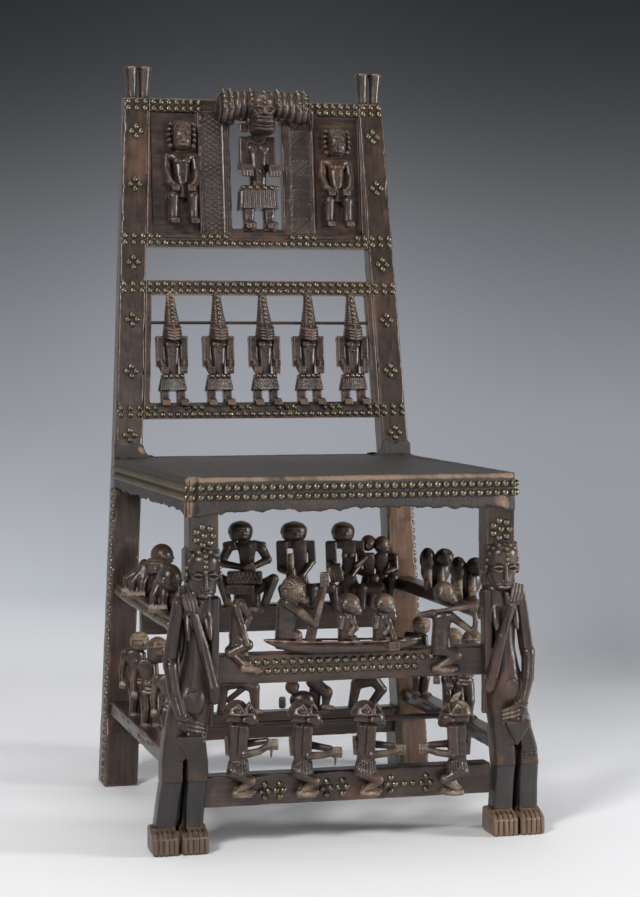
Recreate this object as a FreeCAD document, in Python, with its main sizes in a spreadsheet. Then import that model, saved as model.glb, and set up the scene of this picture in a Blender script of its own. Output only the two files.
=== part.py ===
"""A high-backed side chair in carved hardwood, with figures on every rung and panel.

Z is up, the sitter faces -Y, and the origin is on the floor under the middle of the chair.
Lengths are in millimetres.
"""

import FreeCAD, Part
import Sketcher
import math
import os

Vector = FreeCAD.Vector
UP = Vector(0, 0, 1)
doc = FreeCAD.newDocument("carved_chair")

# Driving dimensions
SIZES = {
    # seat
    "seat_height": 449.5,
    "seat_depth": 465.8,
    "seat_front_half": 205.0,
    "seat_back_half": 213.0,
    "back_line": 192.6,
    "hide_thickness": 3.0,
    "hide_drop": 42.0,
    "hide_corner_drop": 48.0,
    "hide_corner_reach": 42.0,
    "hide_wrap_height": 22.0,
    "seat_rail_height": 33.0,
    "seat_rail_thickness": 24.0,
    # back posts
    "back_rise": 499.1,
    "back_rake": 58.4,
    "post_foot_half": 232.6,
    "post_top_half": 186.6,
    "post_width": 38.0,
    "post_top_width": 35.0,
    "post_foot_depth": 46.0,
    "post_seat_depth": 37.0,
    "post_top_depth": 22.0,
    "post_foot_forward": 20.5,
    "foot_height": 92.0,
    "foot_shoulder": 13.0,
    "foot_extra_width": 8.0,
    "foot_extra_depth": 7.0,
    "foot_crown_inset": 13.0,
    "horn_height": 42.4,
    "horn_base_diameter": 12.4,
    "horn_top_diameter": 18.2,
    "horn_gap": 6.1,
    "horn_root": 6.0,
    # joinery
    "tenon_length": 13.0,
    "tenon_shoulder": 5.0,
    "housing_depth": 3.0,
    # crest panel, along the back from the seat
    "crest_low": 293.1,
    "crest_height": 209.4,
    "crest_thickness": 18.0,
    "crest_border": 19.0,
    "crest_recess": 3.0,
    "crest_band_outer": 80.0,
    "crest_band_inner": 46.0,
    "crest_band_depth": 1.5,
    "window_half": 37.5,
    "window_low": 21.0,
    "window_top_margin": 42.0,
    "crest_tenon": 20.0,
    "chief_height": 190.0,
    "chief_forward": 6.0,
    "relief_height": 146.0,
    "relief_offset": 111.0,
    "relief_forward": 3.0,
    "headdress_half": 68.0,
    "headdress_radius": 15.0,
    "headdress_forward": 10.0,
    "headdress_curl_drop": 14.0,
    # open back panel, along the back from the seat
    "panel_low": 53.2,
    "panel_high": 246.4,
    "panel_thickness": 15.0,
    "panel_low_rail": 22.3,
    "panel_high_rail": 19.7,
    "panel_stile": 9.0,
    "panel_figure_pitch": 65.0,
    "panel_figure_forward": 5.0,
    "rod_diameter": 4.5,
    "rod_drop": 39.0,
    "rod_setback": 8.0,
    # front legs
    "leg_inset": 3.0,
    "leg_width": 35.5,
    "leg_depth": 32.0,
    "leg_figure_height": 362.0,
    # rungs
    "front_upper_low": 199.6,
    "front_upper_height": 35.4,
    "front_lower_low": 51.0,
    "front_lower_height": 37.5,
    "front_rung_depth": 26.0,
    "front_upper_setback": 25.0,
    "front_lower_setback": 33.0,
    "front_rung_half": 178.0,
    "rear_upper_low": 204.5,
    "rear_upper_height": 37.7,
    "rear_lower_low": 55.0,
    "rear_lower_height": 36.5,
    "rear_rung_depth": 24.0,
    "rear_rung_setback": 3.0,
    "side_upper_low": 259.0,
    "side_upper_height": 17.0,
    "side_lower_low": 98.0,
    "side_lower_height": 18.0,
    "side_rung_width": 26.0,
    "side_upper_half": 213.0,
    "side_lower_half": 223.0,
    "side_rung_reach": 38.0,
    "cross_rod_diameter": 8.0,
    "cross_rod_place": 190.0,
    "cross_rod_socket": 10.0,
    # figures on the rungs
    "hunter_height": 108.0,
    "porter_height": 100.0,
    "paddler_height": 68.0,
    "steersman_height": 94.0,
    "canoe_length": 197.0,
    "canoe_width": 30.0,
    "canoe_depth": 20.0,
    "canoe_seat": 9.0,
    "smith_height": 124.0,
    "smith_drop": 29.0,
    "musician_height": 116.0,
    "couple_height": 94.0,
    "crawler_height": 46.0,
    "sitter_height": 90.0,
    "watcher_height": 128.0,
    "bowed_height": 78.0,
    "servant_height": 106.0,
    "gun_length": 112.0,
    "tool_thickness": 5.0,
    "figure_seat": 1.5,
    # brass tacks
    "tack_diameter": 9.0,
    "tack_rise": 3.7,
    "shank_diameter": 2.4,
    "shank_length": 8.0,
    "tack_pitch": 10.8,
    "tack_row_gap": 10.8,
    "tack_edge": 5.6,
    "cluster_reach": 6.6,
    "lozenge_reach": 8.0,
    # fits
    "fit_gap": 0.3,
    "overrun": 5.0,
}

sheet = doc.addObject("Spreadsheet::Sheet", "Sizes")
for row, (alias, value) in enumerate(SIZES.items(), start=1):
    sheet.set("A%d" % row, alias)
    sheet.set("B%d" % row, str(value))
    sheet.setAlias("B%d" % row, alias)
doc.recompute()


def mm(alias):
    """The value of one driving dimension."""
    return float(sheet.get(alias))


class Length:
    """A length together with the sheet formula that gives it."""

    def __init__(self, value, formula):
        self.value = float(value)
        self.formula = formula

    @staticmethod
    def of(other):
        return other if isinstance(other, Length) else Length(other, repr(other))

    def joined(self, sign, other, value):
        return Length(value, "(%s %s %s)" % (self.formula, sign, Length.of(other).formula))

    def __add__(self, other):
        return self.joined("+", other, self.value + Length.of(other).value)

    def __sub__(self, other):
        return self.joined("-", other, self.value - Length.of(other).value)

    def __mul__(self, other):
        return self.joined("*", other, self.value * Length.of(other).value)

    def __truediv__(self, other):
        return self.joined("/", other, self.value / Length.of(other).value)

    def __neg__(self):
        return Length(-self.value, "(0 - %s)" % self.formula)


def cell(alias):
    """One driving dimension as a length that a sketch or property can be bound to."""
    return Length(mm(alias), "Sizes." + alias)


def mirrored(corners):
    """An outline symmetric about X = 0 from its right half, listed from below upwards."""
    return corners + [(-x, z) for x, z in reversed(corners)]


def board(name, plane, corners, start, thickness):
    """A body padded from a closed outline on one of its own origin planes."""
    body = doc.addObject("PartDesign::Body", name)
    sketch = body.newObject("Sketcher::SketchObject", name + "_outline")
    origin_plane = [f for f in body.Origin.OriginFeatures if f.Role == plane][0]
    sketch.AttachmentSupport = [(origin_plane, "")]
    sketch.MapMode = "FlatFace"
    count = len(corners)
    for i in range(count):
        ends = [Vector(a.value, b.value, 0) for a, b in (corners[i], corners[(i + 1) % count])]
        sketch.addGeometry(Part.LineSegment(*ends), False)
    for i in range(count):
        sketch.addConstraint(Sketcher.Constraint("Coincident", i, 2, (i + 1) % count, 1))
    for i, corner in enumerate(corners):
        for kind, place in zip(("DistanceX", "DistanceY"), corner):
            made = sketch.addConstraint(Sketcher.Constraint(kind, -1, 1, i, 1, place.value))
            label = "corner_%d_%s" % (i, kind[-1])
            sketch.renameConstraint(made, label)
            sketch.setExpression("Constraints." + label, place.formula)
    sketch.setExpression("AttachmentOffset.Base.z", start.formula)
    pad = body.newObject("PartDesign::Pad", name + "_pad")
    pad.Profile = sketch
    pad.setExpression("Length", thickness.formula)
    sketch.Visibility = False
    return body


def shaped(name, shape, placement=None):
    """A document object that holds a shape worked out below."""
    made = doc.addObject("Part::Feature", name)
    made.Shape = shape
    if placement is not None:
        made.Placement = placement
    return made


def joined(name, objects):
    made = doc.addObject("Part::MultiFuse", name)
    made.Shapes = objects
    return made


def cut(name, base, tools):
    """The base less every tool, such as a post less the tenons that enter it."""
    tool = tools[0]
    if len(tools) > 1:
        tool = doc.addObject("Part::Compound", name + "_cutters")
        tool.Links = tools
    made = doc.addObject("Part::Cut", name)
    made.Base = base
    made.Tool = tool
    return made


# Where the main planes stand

CHAMFER_SHARE = 0.3
SEAT_TOP = mm("seat_height")
FRAME_TOP = SEAT_TOP - mm("hide_thickness")
FRAME_LOW = FRAME_TOP - mm("seat_rail_height")
BACK_LINE = mm("back_line")
SEAT_FRONT = BACK_LINE - mm("seat_depth")
BACK_LEAN = math.atan2(mm("back_rake"), mm("back_rise"))
BACK_LENGTH = math.hypot(mm("back_rake"), mm("back_rise"))
POST_TOP = SEAT_TOP + mm("back_rise")
back_place = FreeCAD.Placement(
    Vector(0, BACK_LINE, SEAT_TOP), FreeCAD.Rotation(Vector(1, 0, 0), -math.degrees(BACK_LEAN))
)


def post_outer(z):
    """Half the chair's width over the back posts at a height."""
    drop = mm("post_foot_half") - mm("post_top_half")
    return mm("post_foot_half") - drop * z / POST_TOP


def post_width(z):
    above = max(z - SEAT_TOP, 0) / mm("back_rise")
    return mm("post_width") - (mm("post_width") - mm("post_top_width")) * above


def post_front(z):
    """Where the front face of a back post stands at a height."""
    if z > SEAT_TOP:
        return BACK_LINE + mm("back_rake") * (z - SEAT_TOP) / mm("back_rise")
    return BACK_LINE - mm("post_foot_forward") * (SEAT_TOP - z) / SEAT_TOP


def post_depth(z):
    if z > SEAT_TOP:
        share = (z - SEAT_TOP) / mm("back_rise")
        return mm("post_seat_depth") + (mm("post_top_depth") - mm("post_seat_depth")) * share
    share = z / SEAT_TOP
    return mm("post_foot_depth") + (mm("post_seat_depth") - mm("post_foot_depth")) * share


def seat_half(y):
    """Half the seat's width between its front edge and the back posts."""
    share = (y - SEAT_FRONT) / mm("seat_depth")
    return mm("seat_front_half") + (mm("seat_back_half") - mm("seat_front_half")) * share


# The same lines as sheet formulas, for the sketches

INNER_AT_SEAT = (
    cell("post_foot_half")
    - (cell("post_foot_half") - cell("post_top_half"))
    * cell("seat_height")
    / (cell("seat_height") + cell("back_rise"))
    - cell("post_width")
)
INNER_AT_TOP = cell("post_top_half") - cell("post_top_width")


def inner_along_back(along):
    """Half the gap between the back posts at a distance along the back from the seat."""
    full = Length(BACK_LENGTH, "sqrt(Sizes.back_rake ^ 2 + Sizes.back_rise ^ 2)")
    return INNER_AT_SEAT - (INNER_AT_SEAT - INNER_AT_TOP) * along / full


# Solids through rings of corners


def face(corners):
    return Part.Face(Part.makePolygon([*corners, corners[0]]))


def skin(rings):
    """A solid through rings of as many corners each; twisted sides are split in two."""
    faces = [face(rings[0][::-1]), face(rings[-1])]
    for low, high in zip(rings, rings[1:]):
        for i in range(len(low)):
            j = (i + 1) % len(low)
            a, b, c, d = low[i], low[j], high[j], high[i]
            across = (b - a).cross(d - a)
            if abs(across.dot(c - a)) < 1e-7 * across.Length * (c - a).Length:
                faces.append(face([a, b, c, d]))
            else:
                faces += [face([a, b, c]), face([a, c, d])]
    solid = Part.Solid(Part.Shell(faces))
    if solid.Volume < 0:
        solid.reverse()
    return solid


def oblong(centre, half_width, half_depth):
    """Eight corners of a level oblong with cut corners."""
    straight_share = 1 - CHAMFER_SHARE
    quarter = [(half_width, half_depth * straight_share), (half_width * straight_share, half_depth)]
    sides = quarter + [(-x, y) for x, y in reversed(quarter)]
    corners = sides + [(-x, -y) for x, y in sides]
    return [centre + Vector(x, y, 0) for x, y in corners]


def block(low, high):
    """A box between two opposite corners."""
    size = high - low
    return Part.makeBox(size.x, size.y, size.z, low)


def limb(points, sides=6):
    """A bent limb of straight tapering lengths through (place, radius) pairs."""
    pieces = []
    for (start, start_radius), (end, end_radius) in zip(points, points[1:]):
        along = (end - start).normalize()
        helper = Vector(1, 0, 0) if abs(along.x) < abs(along.z) else Vector(0, 0, 1)
        across = along.cross(helper).normalize()
        other = along.cross(across)
        rings = []
        for place, radius, step in ((start, start_radius, -1), (end, end_radius, 1)):
            centre = place + along * radius * step * CHAMFER_SHARE
            turns = [math.tau * i / sides for i in range(sides)]
            rings.append(
                [centre + (across * math.cos(t) + other * math.sin(t)) * radius for t in turns]
            )
        pieces.append(skin(rings))
    return pieces


def united(solids):
    return solids[0].multiFuse(solids[1:]) if len(solids) > 1 else solids[0]


# Figure poses. Every number is a share of the figure's height. A trunk ring is
# (height, half width, half depth, how far forward). A limb point is
# (out to the side, forward, height, radius), and limbs come in pairs.

STANDING_SHARES = {
    "trunk": [
        (0.18, 0.110, 0.070, 0.00),
        (0.28, 0.085, 0.060, 0.00),
        (0.29, 0.055, 0.045, 0.00),
        (0.50, 0.062, 0.045, 0.00),
        (0.60, 0.085, 0.050, 0.00),
        (0.61, 0.060, 0.060, 0.01),
        (0.67, 0.082, 0.080, 0.02),
        (0.74, 0.070, 0.070, 0.015),
        (0.84, 0.050, 0.050, 0.00),
        (1.01, 0.037, 0.037, 0.00),
    ],
    "limbs": [
        [(0.110, 0.00, 0.590, 0.036), (0.120, 0.01, 0.370, 0.032), (0.055, 0.065, 0.320, 0.028)],
        [(0.062, 0.00, 0.210, 0.042), (0.068, 0.00, 0.020, 0.040)],
        [(0.068, 0.02, 0.035, 0.040), (0.074, 0.09, 0.010, 0.038)],
    ],
}
CHIEF_SHARES = {
    "trunk": [
        (0.23, 0.155, 0.090, 0.00),
        (0.33, 0.140, 0.085, 0.00),
        (0.34, 0.080, 0.065, 0.00),
        (0.50, 0.075, 0.065, 0.01),
        (0.68, 0.100, 0.065, 0.00),
        (0.73, 0.085, 0.060, 0.00),
        (0.74, 0.070, 0.080, 0.03),
        (0.79, 0.100, 0.110, 0.04),
        (0.86, 0.100, 0.110, 0.03),
        (0.99, 0.075, 0.080, 0.00),
    ],
    "limbs": [
        [(0.125, 0.00, 0.690, 0.034), (0.130, 0.02, 0.520, 0.032), (0.080, 0.09, 0.480, 0.030)],
        [(0.078, 0.00, 0.240, 0.040), (0.080, 0.00, 0.030, 0.038)],
        [(0.080, 0.02, 0.045, 0.036), (0.084, 0.12, 0.020, 0.036)],
    ],
}
RELIEF_SHARES = {
    "trunk": [
        (0.34, 0.110, 0.080, 0.00),
        (0.42, 0.100, 0.085, 0.00),
        (0.60, 0.090, 0.075, 0.01),
        (0.71, 0.120, 0.070, 0.00),
        (0.735, 0.060, 0.060, 0.01),
        (0.76, 0.080, 0.090, 0.03),
        (0.84, 0.125, 0.115, 0.03),
        (0.93, 0.120, 0.110, 0.02),
        (1.00, 0.080, 0.080, 0.00),
    ],
    "limbs": [
        [(0.150, 0.00, 0.690, 0.042), (0.155, 0.02, 0.530, 0.038), (0.090, 0.08, 0.440, 0.034)],
        [(0.085, 0.00, 0.380, 0.055), (0.095, 0.05, 0.240, 0.050), (0.100, 0.00, 0.090, 0.045)],
        [(0.100, 0.02, 0.075, 0.045), (0.105, 0.12, 0.050, 0.042)],
    ],
}
KNEELING_SHARES = {
    "trunk": [
        (0.16, 0.120, 0.130, -0.03),
        (0.34, 0.105, 0.110, -0.03),
        (0.35, 0.085, 0.085, -0.03),
        (0.60, 0.105, 0.090, -0.01),
        (0.66, 0.085, 0.080, 0.00),
        (0.68, 0.060, 0.070, 0.02),
        (0.72, 0.085, 0.110, 0.05),
        (0.80, 0.110, 0.130, 0.04),
        (0.90, 0.080, 0.090, 0.00),
        (1.00, 0.030, 0.040, -0.02),
    ],
    "limbs": [
        [(0.120, 0.00, 0.620, 0.036), (0.125, 0.06, 0.420, 0.032), (0.060, 0.40, 0.520, 0.030)],
        [(0.080, 0.00, 0.220, 0.065), (0.085, 0.15, 0.080, 0.050)],
        [(0.085, 0.15, 0.050, 0.045), (0.080, -0.16, 0.045, 0.042)],
    ],
}
SEATED_SHARES = {
    "trunk": [
        (0.00, 0.150, 0.130, -0.02),
        (0.12, 0.145, 0.120, -0.02),
        (0.35, 0.105, 0.090, -0.02),
        (0.58, 0.150, 0.090, 0.00),
        (0.66, 0.090, 0.070, 0.01),
        (0.70, 0.080, 0.080, 0.02),
        (0.77, 0.150, 0.135, 0.02),
        (0.88, 0.165, 0.150, 0.00),
        (0.96, 0.120, 0.110, -0.01),
        (1.00, 0.060, 0.060, -0.01),
    ],
    "limbs": [
        [(0.190, 0.00, 0.590, 0.048), (0.210, 0.04, 0.360, 0.042), (0.130, 0.20, 0.330, 0.038)],
        [(0.100, 0.04, 0.090, 0.075), (0.140, 0.26, 0.280, 0.062), (0.130, 0.30, 0.050, 0.050)],
        [(0.130, 0.28, 0.030, 0.045), (0.135, 0.40, 0.015, 0.042)],
    ],
}
HUNCHED_SHARES = {
    "trunk": [
        (0.00, 0.220, 0.170, -0.05),
        (0.20, 0.210, 0.170, -0.05),
        (0.50, 0.200, 0.150, 0.00),
        (0.68, 0.190, 0.150, 0.05),
        (0.72, 0.150, 0.150, 0.12),
        (0.80, 0.180, 0.190, 0.16),
        (0.92, 0.180, 0.180, 0.15),
        (1.00, 0.100, 0.100, 0.13),
    ],
    "limbs": [
        [(0.240, 0.03, 0.640, 0.062), (0.260, 0.12, 0.400, 0.054), (0.160, 0.34, 0.330, 0.046)],
        [(0.130, 0.00, 0.120, 0.090), (0.180, 0.30, 0.400, 0.075), (0.160, 0.34, 0.070, 0.060)],
        [(0.160, 0.32, 0.035, 0.050), (0.165, 0.46, 0.020, 0.048)],
    ],
}
BOWED_SHARES = {
    "trunk": [
        (0.00, 0.240, 0.180, -0.05),
        (0.25, 0.230, 0.180, -0.05),
        (0.62, 0.260, 0.160, 0.02),
        (0.84, 0.220, 0.150, 0.06),
        (0.86, 0.170, 0.170, 0.14),
        (0.93, 0.190, 0.200, 0.17),
        (1.02, 0.120, 0.120, 0.15),
    ],
    "limbs": [
        [(0.320, 0.06, 0.800, 0.080), (0.330, 0.20, 0.450, 0.070), (0.310, 0.26, 0.060, 0.060)],
        [(0.130, 0.00, 0.150, 0.100), (0.150, 0.26, 0.300, 0.080), (0.150, 0.28, 0.060, 0.070)],
    ],
}
WATCHING_SHARES = {
    "trunk": [
        (0.28, 0.120, 0.090, 0.00),
        (0.42, 0.110, 0.090, 0.00),
        (0.50, 0.085, 0.070, 0.00),
        (0.68, 0.115, 0.075, 0.00),
        (0.72, 0.060, 0.060, 0.00),
        (0.75, 0.080, 0.085, 0.02),
        (0.84, 0.120, 0.115, 0.02),
        (0.94, 0.110, 0.110, 0.00),
        (1.00, 0.060, 0.060, -0.01),
    ],
    "limbs": [
        [(0.150, 0.00, 0.660, 0.042), (0.170, 0.05, 0.480, 0.038), (0.090, 0.15, 0.440, 0.034)],
        [(0.080, 0.00, 0.320, 0.060), (0.090, 0.08, 0.190, 0.052), (0.090, 0.00, 0.050, 0.045)],
        [(0.090, 0.00, 0.030, 0.042), (0.095, 0.13, 0.015, 0.040)],
    ],
}
CRAWLING_SHARES = {
    "trunk": [
        (0.30, 0.240, 0.700, 0.10),
        (0.60, 0.300, 0.800, 0.10),
        (0.85, 0.240, 0.700, 0.05),
        (0.90, 0.260, 0.300, 0.60),
        (1.00, 0.240, 0.280, 0.60),
    ],
    "limbs": [
        [(0.300, 0.55, 0.700, 0.140), (0.320, 0.65, 0.050, 0.110)],
        [(0.260, -0.45, 0.600, 0.170), (0.300, -0.35, 0.050, 0.120)],
    ],
}


def figure(shares, height):
    """The solids of one carved figure that stands on the origin and faces -Y."""
    rings = []
    for up, half_width, half_depth, forward in shares["trunk"]:
        centre = Vector(0, -forward, up) * height
        rings.append(oblong(centre, half_width * height, half_depth * height))
    solids = [skin(rings)]
    for chain in shares["limbs"]:
        for side in (-1, 1):
            points = [
                (Vector(side * out, -forward, up) * height, radius * height)
                for out, forward, up, radius in chain
            ]
            solids += limb(points)
    return united(solids)


def placed(shape, at, facing=0):
    """A copy of a shape, turned about the vertical and moved to its place."""
    turn = FreeCAD.Rotation(UP, facing)
    moved = shape.copy()
    moved.Placement = FreeCAD.Placement(at, turn).multiply(moved.Placement)
    return moved


# Brass tacks


def tack(head, out):
    """A domed tack: head is the middle of the dome's flat underside, out its outward direction."""
    radius = mm("tack_diameter") / 2
    rise = mm("tack_rise")
    shank = mm("shank_diameter") / 2
    length = mm("shank_length")
    ball = (radius**2 + rise**2) / (2 * rise)
    half_turn = math.asin(radius / ball) / 2
    mid = Vector(ball * math.sin(half_turn), 0, rise - ball + ball * math.cos(half_turn))
    edges = [
        Part.LineSegment(Vector(0, 0, -length), Vector(0, 0, rise)).toShape(),
        Part.Arc(Vector(0, 0, rise), mid, Vector(radius, 0, 0)).toShape(),
        Part.LineSegment(Vector(radius, 0, 0), Vector(shank, 0, 0)).toShape(),
        Part.LineSegment(Vector(shank, 0, 0), Vector(shank, 0, shank - length)).toShape(),
        Part.LineSegment(Vector(shank, 0, shank - length), Vector(0, 0, -length)).toShape(),
    ]
    solid = Part.Face(Part.Wire(edges)).revolve(Vector(0, 0, 0), UP, 360)
    turned = solid.copy()
    turned.Placement = FreeCAD.Placement(head, FreeCAD.Rotation(UP, out))
    return turned


def row_places(start, end, pitch=None):
    """Evenly spaced places from start to end, about one pitch apart."""
    pitch = pitch or mm("tack_pitch")
    run = end - start
    steps = max(int(round(run.Length / pitch)), 1)
    return [start + run * (i / steps) for i in range(steps + 1)]


def cluster_places(centre, right, up):
    """Four places in a diamond."""
    reach = mm("cluster_reach")
    return [centre + right * reach, centre - right * reach, centre + up * reach, centre - up * reach]


def tack_group(name, places, out, placement=None):
    """One node of separate tacks."""
    tacks = [tack(place, out) for place in places]
    return shaped(name, Part.makeCompound(tacks), placement)


FRONT = Vector(0, -1, 0)
RIGHT = Vector(1, 0, 0)
SIDES = (("left", -1), ("right", 1))


def clear_of(places, zones):
    """The places outside every (centre, reach) zone along X."""
    return [p for p in places if all(abs(p.x - centre) > reach for centre, reach in zones)]


# Back posts


def level(outer, inner, front, depth, z):
    """Four corners of a level section."""
    return [
        Vector(inner, front, z),
        Vector(outer, front, z),
        Vector(outer, front + depth, z),
        Vector(inner, front + depth, z),
    ]


def post_section(z):
    outer = post_outer(z)
    return level(outer, outer - post_width(z), post_front(z), post_depth(z), z)


def post_shape():
    """The right back post with its widened foot and pair of flared horns."""
    shaft = skin([post_section(0), post_section(SEAT_TOP), post_section(POST_TOP)])
    foot_rings = []
    heights = (0, mm("foot_height") - mm("foot_shoulder"), mm("foot_height"))
    for z, inset in zip(heights, (0, 0, mm("foot_crown_inset"))):
        width = post_width(z) + mm("foot_extra_width") - 2 * inset
        front = post_front(z) - mm("foot_extra_depth")
        depth = post_depth(z) + mm("foot_extra_depth")
        outer = post_outer(z) - inset
        foot_rings.append(level(outer, outer - width, front, depth, z))
    spacing = mm("horn_base_diameter") + mm("horn_gap")
    middle = mm("post_top_half") - mm("post_top_width") / 2
    along = Vector(0, math.sin(BACK_LEAN), math.cos(BACK_LEAN))
    height = mm("horn_root") + mm("horn_height")
    horns = []
    for side in (-1, 1):
        at = Vector(middle + side * spacing / 2, post_front(POST_TOP) + post_depth(POST_TOP) / 2, POST_TOP)
        root = at - along * mm("horn_root")
        horns.append(Part.makeCone(mm("horn_base_diameter") / 2, mm("horn_top_diameter") / 2, height, root, along))
    return united([shaft, skin(foot_rings), *horns])


# Front legs, each a carved standing woman. A trunk ring is (height, distance of
# its middle from the leg's middle line, half width, setback of its middle, half depth).

WOMAN_TRUNK_SHARES = [
    (0.340, 0.055, 0.072, 0.078, 0.052),
    (0.415, 0.044, 0.076, 0.072, 0.055),
    (0.510, 0.033, 0.074, 0.066, 0.058),
    (0.595, 0.027, 0.060, 0.058, 0.058),
    (0.690, 0.022, 0.047, 0.058, 0.047),
    (0.790, 0.014, 0.058, 0.055, 0.042),
    (0.830, 0.011, 0.060, 0.052, 0.038),
    (0.845, 0.008, 0.026, 0.047, 0.030),
    (0.862, 0.005, 0.026, 0.044, 0.032),
    (0.866, 0.003, 0.036, 0.036, 0.042),
    (0.900, 0.000, 0.055, 0.034, 0.050),
    (0.940, -0.002, 0.068, 0.032, 0.058),
    (0.980, -0.002, 0.073, 0.034, 0.060),
    (1.000, -0.002, 0.068, 0.036, 0.054),
]
WOMAN_LEG_SHARES = [
    [(0.400, 0.090, 0.040, 0.074, 0.045), (0.290, 0.102, 0.040, 0.088, 0.045), (0.060, 0.125, 0.038, 0.112, 0.046)],
    [(0.400, 0.008, 0.036, 0.074, 0.045), (0.290, 0.012, 0.034, 0.088, 0.045), (0.060, 0.020, 0.036, 0.112, 0.046)],
]
WOMAN_FOOT_SHARES = [(0.128, 0.049, 0.036, 0.160), (0.022, 0.046, 0.036, 0.160)]
WOMAN_FOOT_HEIGHT_SHARE = 0.092
WOMAN_LOW_ARM_SHARES = [
    (0.078, 0.050, 0.825, 0.027),
    (0.112, 0.056, 0.660, 0.026),
    (0.102, 0.030, 0.540, 0.024),
    (0.040, 0.016, 0.475, 0.023),
]
WOMAN_HIGH_ARM_SHARES = [
    (-0.050, 0.050, 0.825, 0.026),
    (-0.046, 0.030, 0.480, 0.024),
    (0.020, 0.014, 0.850, 0.022),
]


def woman_shape():
    """The right front leg: a square post above a woman, hand at chin and hand on belly."""
    height = mm("leg_figure_height")
    middle = mm("seat_front_half") - mm("leg_inset") - mm("leg_width") / 2
    front = SEAT_FRONT + mm("hide_thickness")

    def rings(table):
        made = []
        for up, out, half_width, back, half_depth in table:
            centre = Vector(middle + out * height, front + back * height, up * height)
            made.append(oblong(centre, half_width * height, half_depth * height))
        return skin(made)

    def arm(table):
        points = []
        for out, back, up, radius in table:
            points.append((Vector(middle + out * height, front + back * height, up * height), radius * height))
        return limb(points)

    half = mm("leg_width") / 2
    low = Vector(middle - half, front, height - mm("leg_depth") / 2)
    high = Vector(middle + half, front + mm("leg_depth"), FRAME_TOP)
    solids = [block(low, high), rings(WOMAN_TRUNK_SHARES)]
    solids += [rings(table) for table in WOMAN_LEG_SHARES]
    for out, half_width, start, end in WOMAN_FOOT_SHARES:
        corner = Vector(middle + (out - half_width) * height, front + start * height, 0)
        opposite = Vector(middle + (out + half_width) * height, front + end * height, WOMAN_FOOT_HEIGHT_SHARE * height)
        solids.append(block(corner, opposite))
    solids += arm(WOMAN_LOW_ARM_SHARES) + arm(WOMAN_HIGH_ARM_SHARES)
    return united(solids)


def both_sides(shape):
    """(name, sign, shape) for the right piece and its mirror image on the left."""
    left = shape.mirror(Vector(0, 0, 0), RIGHT)
    return [("right", 1, shape), ("left", -1, left)]


bare_posts = {side: shaped(side + "_post_blank", shape) for side, _, shape in both_sides(post_shape())}
bare_legs = {side: shaped(side + "_leg_blank", shape) for side, _, shape in both_sides(woman_shape())}


# Seat frame


def seat_corner(y, inset):
    return Vector(seat_half(y) - inset, y, 0)


def cross_rail(name, low, height, front, depth, reach):
    """A board across the chair, with a tenon at each end past a housed shoulder."""
    shoulder = cell("tenon_shoulder")
    tip = reach + cell("tenon_length")
    top = low + height
    corners = [
        (reach, low),
        (reach, low + shoulder),
        (tip, low + shoulder),
        (tip, top - shoulder),
        (reach, top - shoulder),
        (reach, top),
    ]
    return board(name, "XZ_Plane", mirrored(corners), -(front + depth), depth)


def inner_at(height):
    """Half the gap between the back posts at a height at or below the seat."""
    drop = (cell("post_foot_half") - cell("post_top_half")) * height / (cell("seat_height") + cell("back_rise"))
    return cell("post_foot_half") - drop - cell("post_width")


seat_front = cell("back_line") - cell("seat_depth")
frame_low = cell("seat_height") - cell("hide_thickness") - cell("seat_rail_height")
front_face = seat_front + cell("hide_thickness")
leg_outer = cell("seat_front_half") - cell("leg_inset")

front_rail = cross_rail(
    "front_rail_board",
    frame_low,
    cell("seat_rail_height"),
    front_face,
    cell("seat_rail_thickness"),
    leg_outer - cell("leg_width") + cell("housing_depth"),
)
rear_rail = cross_rail(
    "rear_rail_board",
    frame_low,
    cell("seat_rail_height"),
    cell("back_line") + cell("housing_depth"),
    cell("seat_rail_thickness"),
    inner_at(frame_low) + cell("housing_depth"),
)


def side_seat_rail(name, sign):
    """A splayed side rail from the front leg to the back post, in plan."""
    leg_back = front_face + cell("leg_depth") - cell("housing_depth")
    post_face = cell("back_line") + cell("housing_depth")
    slope = (cell("seat_back_half") - cell("seat_front_half")) / cell("seat_depth")
    cover = cell("hide_thickness")
    shoulder = cell("tenon_shoulder")
    thick = cell("seat_rail_thickness")

    def across(y, inset):
        return cell("seat_front_half") + slope * (y - seat_front) - cover - inset

    tips = (leg_back - cell("tenon_length"), post_face + cell("tenon_length"))
    corners = [
        (across(leg_back, thick * 0), leg_back),
        (across(leg_back, shoulder), leg_back),
        (across(leg_back, shoulder), tips[0]),
        (across(leg_back, thick - shoulder), tips[0]),
        (across(leg_back, thick - shoulder), leg_back),
        (across(leg_back, thick), leg_back),
        (across(post_face, thick), post_face),
        (across(post_face, thick - shoulder), post_face),
        (across(post_face, thick - shoulder), tips[1]),
        (across(post_face, shoulder), tips[1]),
        (across(post_face, shoulder), post_face),
        (across(post_face, thick * 0), post_face),
    ]
    if sign < 0:
        corners = [(-x, y) for x, y in reversed(corners)]
    return board(name, "XY_Plane", corners, frame_low, cell("seat_rail_height"))


side_rails = {
    "left": side_seat_rail("left_rail_board", -1),
    "right": side_seat_rail("right_rail_board", 1),
}


# Seat hide: a tray upside down over the frame, cut to the shape of the posts


def hide_ring(inset, z, back):
    y_front = SEAT_FRONT + inset
    return [
        Vector(-seat_half(y_front) + inset, y_front, z),
        Vector(seat_half(y_front) - inset, y_front, z),
        Vector(seat_half(back) - inset, back, z),
        Vector(-seat_half(back) + inset, back, z),
    ]


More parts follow.
